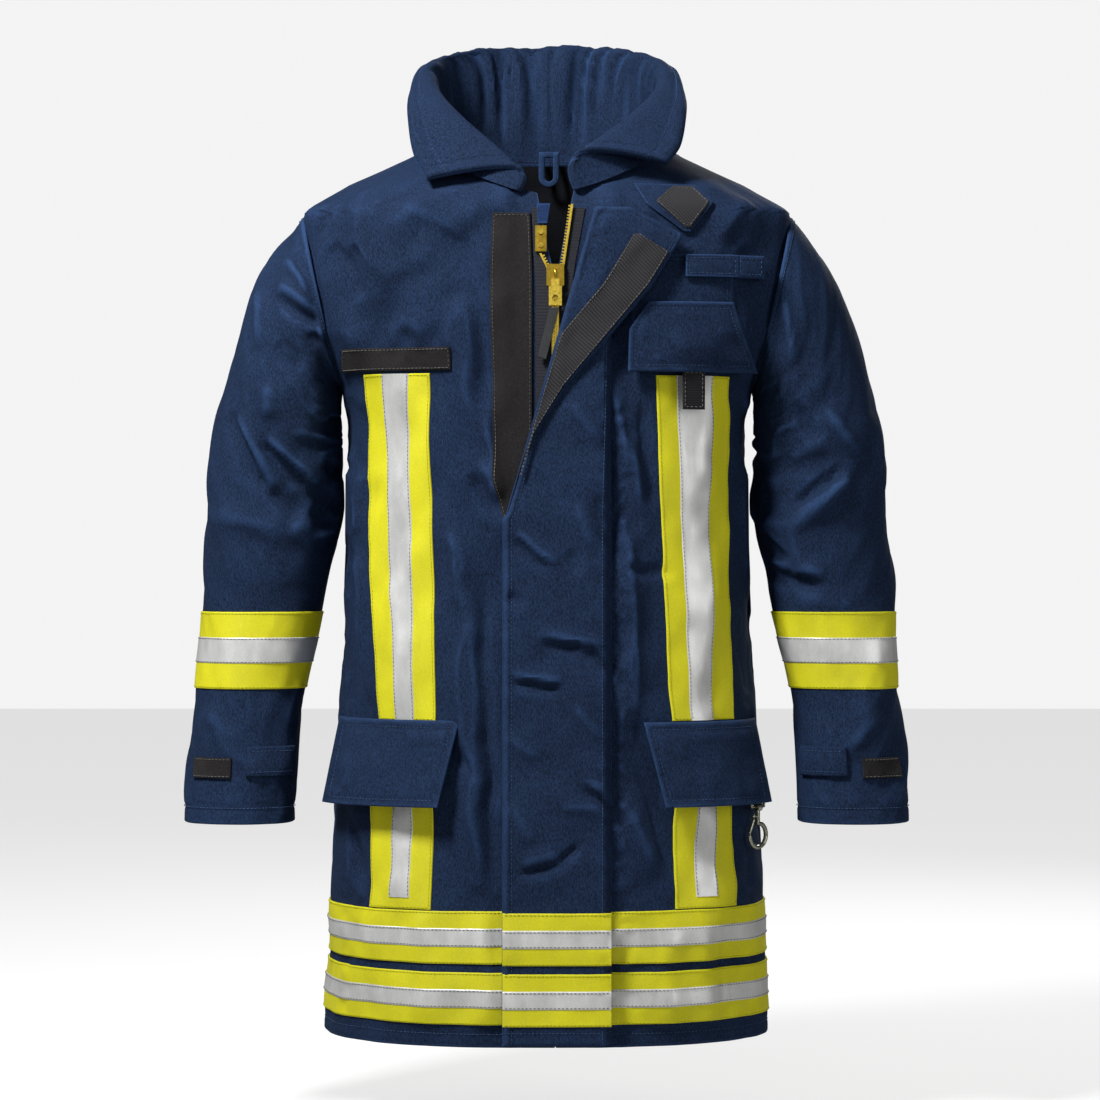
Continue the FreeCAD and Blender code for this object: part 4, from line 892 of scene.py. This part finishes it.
def collar():
    """One padded funnel, open at the front and rolled outwards at both ends."""
    turns = spaced(2 * COLLAR_END, 2.2, (0, 0.4, 1.0, 2.0, 3.4)) - COLLAR_END
    v = spaced(100, 2.4, (0, 0.5, 1.4, 2.6, 4.4)) / 100
    both = {}
    for turn, row in COLLAR.items():
        both[turn] = row
        both[-turn] = (-row[0], row[1], row[2], -row[3], row[4], row[5])
    rise = np.interp(turns, (110, 130, 150, 168), (0, 3, 8, 15))
    rows = curve_between(both, turns)
    roll, edge = rows[:, :3].copy(), rows[:, 3:].copy()
    roll[:, 2] += rise
    edge[:, 2] += rise
    a = np.radians(turns)
    seam_x, seam_y = 124 * np.sin(a), -11 + 103 * np.cos(a)
    shrink = 1 - 4 / np.hypot(seam_x, seam_y)
    drop = 1.5 - 6 * smooth(112, 70, np.abs(turns))
    seam = np.stack((seam_x, seam_y, torso_height(seam_x * shrink, seam_y * shrink) + drop + rise * 0.1), -1)
    control = 2 * roll - (seam + edge) / 2
    V = v[None, :, None]
    base = (1 - V) ** 2 * seam[:, None] + 2 * V * (1 - V) * control[:, None] + V ** 2 * edge[:, None]
    normal = grid_normals(base)
    inward = np.stack((-np.sin(a), -np.cos(a), 0 * a), -1)[:, None]
    if np.sum(normal * inward) < 0:
        normal = -normal
    T, W = np.broadcast_to(turns[:, None], base.shape[:2]), np.broadcast_to(v[None, :], base.shape[:2])
    length = np.linalg.norm(np.diff(base, axis=1), axis=2).sum(1)[:, None]
    gap = np.minimum.reduce(((COLLAR_END - np.abs(T)) * 2.2, (1 - W) * length))
    lean = T + 30 * np.sign(T) * (1 - W) * np.minimum(np.abs(T) / 40, 1)
    back = smooth(118, 62, np.abs(T))
    crease = 5.2 * noise(lean / 7.5, W * 1.6, 61) + 2.6 * noise(lean / 3.4, W * 2.4 + 5, 62)
    crease = crease * smooth(0.0, 0.3, W) * smooth(0.93, 0.66, W) * back
    soft = 1.3 * noise(T / 24, W * 3, 63) + 0.5 * noise(T / 8, W * 6, 64)
    relief_in = np.clip(crease + soft * smooth(0, 0.2, W), -4.5, 6.0)
    rim = 1.4 * line_at(gap, 5, 4.5)
    face_in = 3.2 + relief_in + rim - rounding(gap, 4.0) - 1.1 * line_at(gap, 9.5, 2.0)
    face_out = 3.2 + 1.0 * noise(T / 16, W * 3, 65) + rim * 0.6 - rounding(gap, 4.0)
    face_out = face_out - 0.9 * line_at(gap, 9.5, 2.0)
    outer = base + normal * np.maximum(face_in, -2.6)[..., None]
    inner = base - normal * np.maximum(face_out, -0.8)[..., None]
    make("collar", *thick(outer, inner), NAVY, BODY, ["collar"])
    rim_column = int(np.argmin(np.abs(v - (1 - 9.5 / 115))))
    stitches(outer[:, rim_column], normal[:, rim_column], (BODY, "navy"))
    for row in (6, -7):
        stitches(outer[row, 8:], normal[row, 8:], (BODY, "navy"))
    column = int(np.argmin(np.abs(v - 0.035)))
    stitches(outer[:, column], normal[:, column], (BODY, "navy"))


collar()


def hanger():
    """A flat loop of folded cloth, hung from the back of the neck."""
    rings = []
    for r, height in ((10.5, 26), (4.2, 20)):
        ring = []
        for a in np.radians(np.linspace(-90, 270, 81)[:-1]):
            c, s = math.cos(a), math.sin(a)
            z = 857.5 + r * s if s < 0 else 857.5 + min(height, 40 * s)
            ring.append((2 + r * c if s < 0 else 2 + r * np.sign(c) * min(1, abs(c) * 6), 0, z))
        rings.append(np.array(ring, float))
    outer_ring, inner_ring = rings
    share = np.array((0, 0.08, 0.2, 0.5, 0.8, 0.92, 1))[:, None, None]
    sheet = outer_ring[None] * (1 - share) + inner_ring[None] * share
    swell = (1.6 * np.sqrt(np.clip(1 - (2 * share - 1) ** 2, 0, 1)) + 0.3)[..., 0] + 0 * sheet[..., 0]
    front, behind = sheet.copy(), sheet.copy()
    lean = 0.08 * (sheet[..., 2] - 857)
    front[..., 1] = 71 - swell + lean
    behind[..., 1] = 71 + swell + lean
    rows, cols = front.shape[:2]
    verts = np.concatenate((front.reshape(-1, 3), behind.reshape(-1, 3)))
    count, last = rows * cols, (rows - 1) * cols
    faces = grid_faces(rows, cols, loop=True) + grid_faces(rows, cols, count, True, loop=True)
    for c in range(cols):
        d = (c + 1) % cols
        faces.append((d, c, c + count, d + count))
        faces.append((last + c, last + d, last + d + count, last + c + count))
    make("hanger", verts, faces, NAVY, BODY, ["hanger_loop"])


hanger()


# ---------------------------------------------------------------- sleeves

# Outer x and z, inner x and z, half depth and middle y of each section, from the armhole to the cuff.
SLEEVE = np.array((
    (242.5, 812, 204.2, 640, 78, 0), (285, 752, 206.5, 622, 76, 0), (313, 672, 206, 598, 72, 1),
    (335, 560, 205.5, 560, 70, 4), (340, 511, 205, 511, 68, 8), (344, 460, 218, 460, 62, 5),
    (346.5, 400, 229.5, 400, 57, 0), (352, 330, 244, 330, 52, -10), (357, 260, 249, 260, 50, -20),
    (359, 208, 250, 208, 50, -28)))
ROW_AT = np.array((0, 75, 150, 245, 290, 341, 401, 471, 541, 593), float)
CUFF_ROW = ROW_AT[-1]


def sleeve_row(z):
    """The way down the forearm of a level."""
    return np.interp(-np.asarray(z, float), -SLEEVE[4:, 1], ROW_AT[4:])


def sleeve(turn, way, offset, side=1):
    """Points of a sleeve. Turn 0 is its outer line, 90 the back, 180 the inner line, 270 the front."""
    row = curve_between(dict(zip(ROW_AT, SLEEVE)), np.clip(np.ravel(way), 0, CUFF_ROW))
    row = row.reshape(np.shape(way) + (6,))
    across = np.stack(((row[..., 0] - row[..., 2]) / 2, (row[..., 1] - row[..., 3]) / 2), -1)
    half = np.linalg.norm(across, axis=-1)
    c, s = np.cos(np.radians(turn)), np.sin(np.radians(turn))
    reach = (half + offset) / half * c
    x = (row[..., 0] + row[..., 2]) / 2 + across[..., 0] * reach
    z = (row[..., 1] + row[..., 3]) / 2 + across[..., 1] * reach
    y = row[..., 5] + (row[..., 4] + offset) * s
    return np.stack(np.broadcast_arrays(side * x, y, z), -1)


# Creases of the front of each sleeve by (x, z): start, end, width, height. 1 is the wearer's left.
SLEEVE_FOLDS = {
    -1: ((-315, 611, -275, 535, 7, -3.4), (-306, 611, -268, 539, 7, 3.4), (-275, 535, -246, 510, 6, -3.2),
         (-279, 582, -235, 539, 5, -3.8), (-273, 586, -226, 542, 7, 3.8), (-235, 539, -205, 515, 6, -3.4),
         (-230, 522, -215, 497, 8, -4.2), (-210, 611, -206, 586, 6, -3.8), (-216, 566, -203, 546, 7, -4.0),
         (-210, 579, -204, 562, 6, 3.2), (-266, 726, -230, 702, 6, -3.2), (-264, 733, -226, 709, 8, 3.0),
         (-268, 677, -243, 657, 7, -2.8), (-226, 698, -218, 682, 6, 3.2), (-230, 691, -226, 677, 5, -2.8),
         (-275, 642, -273, 606, 8, 1.8), (-257, 764, -230, 722, 6, 2.0), (-246, 767, -224, 718, 6, -2.0),
         (-284, 731, -283, 677, 7, 1.8), (-333, 517, -248, 490, 14, 2.0), (-253, 504, -226, 477, 8, 3.0),
         (-340, 320, -300, 290, 12, 1.6), (-330, 300, -270, 240, 14, 1.4)),
    1: ((289, 558, 243, 521, 6, -3.6), (295, 547, 251, 511, 7, 3.6), (281, 532, 236, 494, 8, 2.8),
        (202, 502, 243, 457, 7, -3.8), (207, 515, 252, 467, 8, 3.6), (215, 457, 268, 437, 6, -3.4),
        (217, 468, 274, 449, 8, 3.4), (198, 555, 213, 494, 7, -3.8), (217, 615, 225, 566, 8, 3.0),
        (243, 622, 266, 585, 8, -2.6), (274, 615, 302, 570, 8, 2.4), (209, 713, 217, 638, 7, 2.6),
        (194, 615, 207, 585, 6, -3.6), (228, 728, 243, 660, 8, 2.0), (202, 491, 221, 449, 8, -3.2),
        (243, 426, 304, 423, 10, 1.6), (236, 555, 281, 570, 8, -2.2), (320, 610, 330, 540, 10, 1.8),
        (330, 320, 290, 280, 12, 1.6)),
}
SLEEVE_BACK_FOLDS = (
    (330, 560, 230, 520, 9, 3.0), (325, 545, 235, 505, 7, -3.0), (335, 500, 240, 470, 9, 2.8),
    (330, 480, 235, 445, 7, -2.6), (300, 640, 225, 600, 11, 2.8), (290, 620, 215, 575, 7, -2.8),
    (250, 720, 270, 640, 11, 2.4), (340, 330, 270, 290, 14, 1.8))


def sleeve_relief(turn, way, side):
    """How far a sleeve's cloth stands out from its plain form."""
    turn, way = np.broadcast_arrays(np.asarray(turn, float), np.asarray(way, float))
    point = sleeve(turn, way, 0, side)
    x, z = point[..., 0], point[..., 2]
    a = np.radians(turn)
    front = smooth(0.05, -0.25, np.sin(a))
    behind = smooth(-0.05, 0.25, np.sin(a))
    fold = strokes(x, z, SLEEVE_FOLDS[side], 3) * front + strokes(side * x, z, SLEEVE_BACK_FOLDS, 8) * behind

    def swell(n, size, seed):
        return noise(10 + n * np.cos(a) + way / size * 0.4, 10 + n * np.sin(a) + way / size, seed)

    puff = 2.0 * swell(1.3, 74, 71 + side) + 1.2 * swell(2.8, 36, 73 + side) + 0.5 * swell(6, 15, 75 + side)
    inside = smooth(0.1, 1.0, -np.cos(a))
    gather = inside * 3.0 * noise(way / 15 + 0.6 * np.sin(a), np.sin(a) * 1.3 + 9, 77 + side)
    gather = gather * (smooth(150, 200, way) * smooth(400, 330, way) + 0.5 * smooth(120, 20, way))
    flat_under_tape = 1 - 0.5 * smooth(345, 385, way) * smooth(480, 440, way)
    total = (0.8 + fold * 3.0 + puff * 1.8 + gather * 1.4) * flat_under_tape
    return np.clip(total * smooth(0, 30, way) * (0.4 + 0.6 * smooth(593, 560, way)), -4.6, 10 - 8.6 * inside)


SPLIT = float(sleeve_row(511)) - 31


def sleeve_tube(name, first, last, side, hem=False):
    """A closed tube of cloth between two places down the sleeve."""
    high, low = 0, -4
    way = first + spaced(last - first, 4.4, (0, 0.5, 1.5, 3.0) if hem else (0,))
    turn = np.linspace(0, 360, 121)[:-1]
    T, W = np.meshgrid(turn, way)
    fold = sleeve_relief(T, W, side)
    top = high + fold - 0.9 * np.exp(-(np.abs(T - 180) * 1.2 / 3.0) ** 2)
    if first == 0:
        top = top - rounding(W, 2.2) - 0.8 * line_at(W, 8, 2.2)
    if hem:
        top = top - rounding(CUFF_ROW - W, 2.0) - 1.0 * np.exp(-((CUFF_ROW - W - 16) / 2.2) ** 2)
    outer, inner = sleeve(T, W, top, side), sleeve(T, W, low + np.minimum(fold, 2.0) * 0.7, side)
    rows, cols = outer.shape[:2]
    obj = make(name, *tube(outer, inner, side, (rows - 1 if hem else 0,)), NAVY)

    # The open edge takes the normals of the whole sleeve, so that no line shows where its two tubes meet.
    def surface(turn_by, way_by):
        at = T + turn_by, W + way_by
        return sleeve(*at, high + sleeve_relief(*at, side) - 0.9 * np.exp(-((at[0] - 180) * 0.4) ** 2), side)

    normal = np.cross(surface(0.4, 0) - surface(-0.4, 0), surface(0, 0.5) - surface(0, -0.5)) * -side
    normal = normal.reshape(-1, 3) / np.linalg.norm(normal.reshape(-1, 3), axis=1, keepdims=True)
    loose = obj.data.vertex_normals
    wanted = [tuple(loose[k].vector) for k in range(2 * rows * cols)]
    split_row = 0 if hem else rows - 1
    for c in range(cols):
        for r in (split_row, split_row + (1 if hem else -1)):
            wanted[r * cols + c] = tuple(normal[r * cols + c])
    obj.data.normals_split_custom_set_from_vertices(wanted)
    return obj


def blend_arm(obj):
    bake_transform(obj)


def blend_elbow(obj):
    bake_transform(obj)


def ring_stitches(turn, way, side, key, high=0.0):
    """Stitches across a sleeve, from turn to turn at one place down it."""
    W = np.full_like(turn, way)
    top = high + sleeve_relief(turn, W, side)
    line = sleeve(turn, W, top, side)
    stitches(line, sleeve(turn, W, top + 5, side) - line, key)


def sleeve_band(name, body, material, side, first, last, low, high, turns=(0, 360), thread=None,
                replaces=(), radius=0.5, step=4.0, inset=1.8, puff=0.0):
    """A piece sewn round part of a sleeve, between two levels."""
    top_way, low_way = (float(sleeve_row(z)) for z in (last, first))
    way = top_way + spaced(low_way - top_way, step, (0, 0.5, 1.4))
    whole = turns == (0, 360)
    length = (turns[1] - turns[0]) * 1.1
    share = np.linspace(0, 1, 121) if whole else spaced(length, 3.0, (0, 0.5, 1.4)) / length
    T = turns[0] + (turns[1] - turns[0]) * np.broadcast_to(share, (len(way), len(share)))
    W = np.broadcast_to(way[:, None], T.shape)
    gap = np.minimum(W - top_way, low_way - W)
    if not whole:
        gap = np.minimum(gap, np.minimum(T - turns[0], turns[1] - T) * 1.1)
    shape = sleeve_relief(T, W, side)
    top = high + shape - rounding(np.maximum(gap, 0), radius) + puff * (1 - np.exp(-gap / 6))
    top = top - 0.5 * line_at(gap, inset, 1.2) * (puff > 0)
    outer, inner = sleeve(T, W, top, side), sleeve(T, W, low + shape, side)
    if side > 0:
        outer, inner = outer[:, ::-1], inner[:, ::-1]
    outer, inner = outer[::-1], inner[::-1]
    make(name, *thick(outer, inner), material, body, replaces)
    short = 0 if whole else inset
    for w in (top_way + inset, low_way - inset):
        ring_stitches(np.linspace(turns[0] + short, turns[1] - short, 200), w, side, (body, thread), high)


for side, name in ((1, "left"), (-1, "right")):
    forearm, strap = "forearm_" + name, "cuff_strap_" + name
    upper = sleeve_tube("sleeve_upper_" + name, 0, SPLIT, side)
    blend_arm(upper)
    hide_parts("upper_sleeve_" + name, "upper_sleeve_lining_" + name)
    lower = sleeve_tube("sleeve_lower_" + name, SPLIT, CUFF_ROW, side, hem=True)
    blend_elbow(lower)
    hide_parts("forearm_sleeve_" + name, "forearm_lining_" + name)
    for way, body in ((8, "arm_" + name), (CUFF_ROW - 16, forearm)):
        ring_stitches(np.linspace(0, 360, 240), way, side, (body, "navy"))
    sleeve_band("arm_band_" + name, forearm, YELLOW, side, 340, 416, 0.3, 1.5, thread="yellow",
                replaces=["sleeve_tape_" + name])
    sleeve_band("arm_silver_" + name, forearm, SILVER, side, 365.3, 390.7, 1.4, 2.1, thread="grey", inset=1.2,
                replaces=["sleeve_tape_silver_" + name])
    sleeve_band("cuff_loop_" + name, forearm, LOOP, side, 253, 273, 0.4, 2.8, (277, 326), "grey",
                ["cuff_loop_patch_" + name], 0.8, 2.5)
    sleeve_band("cuff_tab_" + name, strap, NAVY, side, 255, 284, 0.8, 4.2, (206, 262), "navy",
                ["cuff_tab_" + name], 1.5, 2.5, 4.5, puff=0.7)


def wristlet(side, name):
    """The knitted cuff inside the sleeve's end, with ribs that run down the arm."""
    way = np.linspace(float(sleeve_row(300)), float(sleeve_row(216)), 40)
    turn = np.linspace(0, 360, 241)[:-1]
    T, W = np.meshgrid(turn, way)
    depth = np.interp(W, way[[0, 12, 39]], (-7.5, -13.0, -14.0))
    rib = 0.9 * np.cos(np.radians(T * 40)) * smooth(0, 6, W - way[0])
    outer, inner = sleeve(T, W, depth + rib, side), sleeve(T, W, depth - 2.0 + rib, side)
    make("wristlet_" + name, *tube(outer, inner, side, (0, len(way) - 1)), KNIT, "forearm_" + name,
         ["knitted_wristlet_" + name])


for side, name in ((1, "left"), (-1, "right")):
    wristlet(side, name)


# ---------------------------------------------------------------- threads

def threads():
    """One mesh for all the stitches of a colour that move together."""
    for (body, colour), runs in ALL_THREADS.items():
        dashes = np.concatenate(runs)
        verts = dashes.reshape(-1, 3)
        faces = [tuple(9 * k + i for i in face) for k in range(len(dashes)) for face in THREAD_FACES]
        blended = body.startswith("arm_")
        obj = make(f"thread_{colour}_{body}", verts, faces, THREADS[colour], None if blended else body)
        if blended:
            blend_arm(obj)


threads()


# ---------------------------------------------------------------- hardware from the frame

METALS = {"zip_chain_left": BRASS, "zip_chain_right": BRASS, "zip_box_and_stop": BRASS, "zip_slider": BRASS,
          "zip_puller": BRASS, "square_ring": NICKEL, "snap_hook": NICKEL, "snap_hook_gate": NICKEL,
          "zip_pull_cord": RUBBER, "zip_tapes": ZIP_TAPE, "zip_guard": GUARD_BLUE, "ring_webbing": WEB}
for node, material in METALS.items():
    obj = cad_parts[node]
    obj.data.materials.clear()
    obj.data.materials.append(material)
    bevel = obj.modifiers.new("edges", "BEVEL")
    bevel.width = (0.25 if "chain" in node else 0.6) * MM
    bevel.segments = 2
    bevel.limit_method = "ANGLE"


# ---------------------------------------------------------------- floor, light and camera

def stage_sheet():
    """A wide, plain floor, which glows for the camera only, so that it stays pale and lights nothing."""
    mesh = bpy.data.meshes.new("floor")
    mesh.from_pydata([(-9, -9, -0.09), (9, -9, -0.09), (9, 9, -0.09), (-9, 9, -0.09)], [], [(0, 1, 2, 3)])
    obj = bpy.data.objects.new("floor", mesh)
    bpy.context.scene.collection.objects.link(obj)
    material, tree, shader = nodes_of("floor")
    seen = add(tree, "ShaderNodeLightPath").outputs["Is Camera Ray"]
    shader.inputs["Base Color"].default_value = (0.35, 0.35, 0.35, 1)
    shader.inputs["Roughness"].default_value = 1.0
    shader.inputs["Specular IOR Level"].default_value = 0.0
    shader.inputs["Emission Color"].default_value = (1, 1, 1, 1)
    tree.links.new(maths(tree, "MULTIPLY", seen, 0.7), shader.inputs["Emission Strength"])
    mesh.materials.append(material)


stage_sheet()


def softbox(name, place_at, aim, width, height, power):
    """A rectangular light, in metres and watts."""
    light = bpy.data.lights.new(name, "AREA")
    light.shape = "RECTANGLE"
    light.size, light.size_y = width, height
    light.energy = power
    obj = bpy.data.objects.new(name, light)
    obj.location = place_at
    obj.rotation_euler = (Vector(aim) - Vector(place_at)).to_track_quat("-Z", "Y").to_euler()
    bpy.context.scene.collection.objects.link(obj)


softbox("key", (-0.95, -1.1, 2.1), (0.05, -0.1, 0.4), 0.4, 0.5, 78)
softbox("fill", (2.3, -1.6, 1.0), (0, 0, 0.45), 0.9, 1.6, 15)
softbox("front", (-0.3, -3.0, 1.5), (0, 0, 0.45), 1.2, 1.0, 6)
softbox("back", (0.9, 2.0, 1.7), (0, 0, 0.5), 0.8, 0.8, 24)
world = bpy.data.worlds.new("studio")
world.use_nodes = True
sky = world.node_tree.nodes["Background"]
seen = add(world.node_tree, "ShaderNodeLightPath").outputs["Is Camera Ray"]
sky_level = add(world.node_tree, "ShaderNodeMapRange", {"Value": seen, "To Min": 0.12, "To Max": 0.9})
world.node_tree.links.new(sky_level.outputs["Result"], sky.inputs["Strength"])
sky.inputs["Color"].default_value = (1, 1, 1, 1)
bpy.context.scene.view_settings.view_transform = "Standard"
bpy.context.scene.world = world

camera_data = bpy.data.cameras.new("camera")
camera_data.lens = 114.5
camera_data.sensor_width = 36
camera = bpy.data.objects.new("camera", camera_data)
camera.location = (0, -3.5, 0.477)      # where the photo was taken from, judged by its perspective
camera.rotation_euler = (math.radians(90), 0, 0)
bpy.context.scene.collection.objects.link(camera)
bpy.context.scene.camera = camera
camera_data.shift_x = 3 / 1100
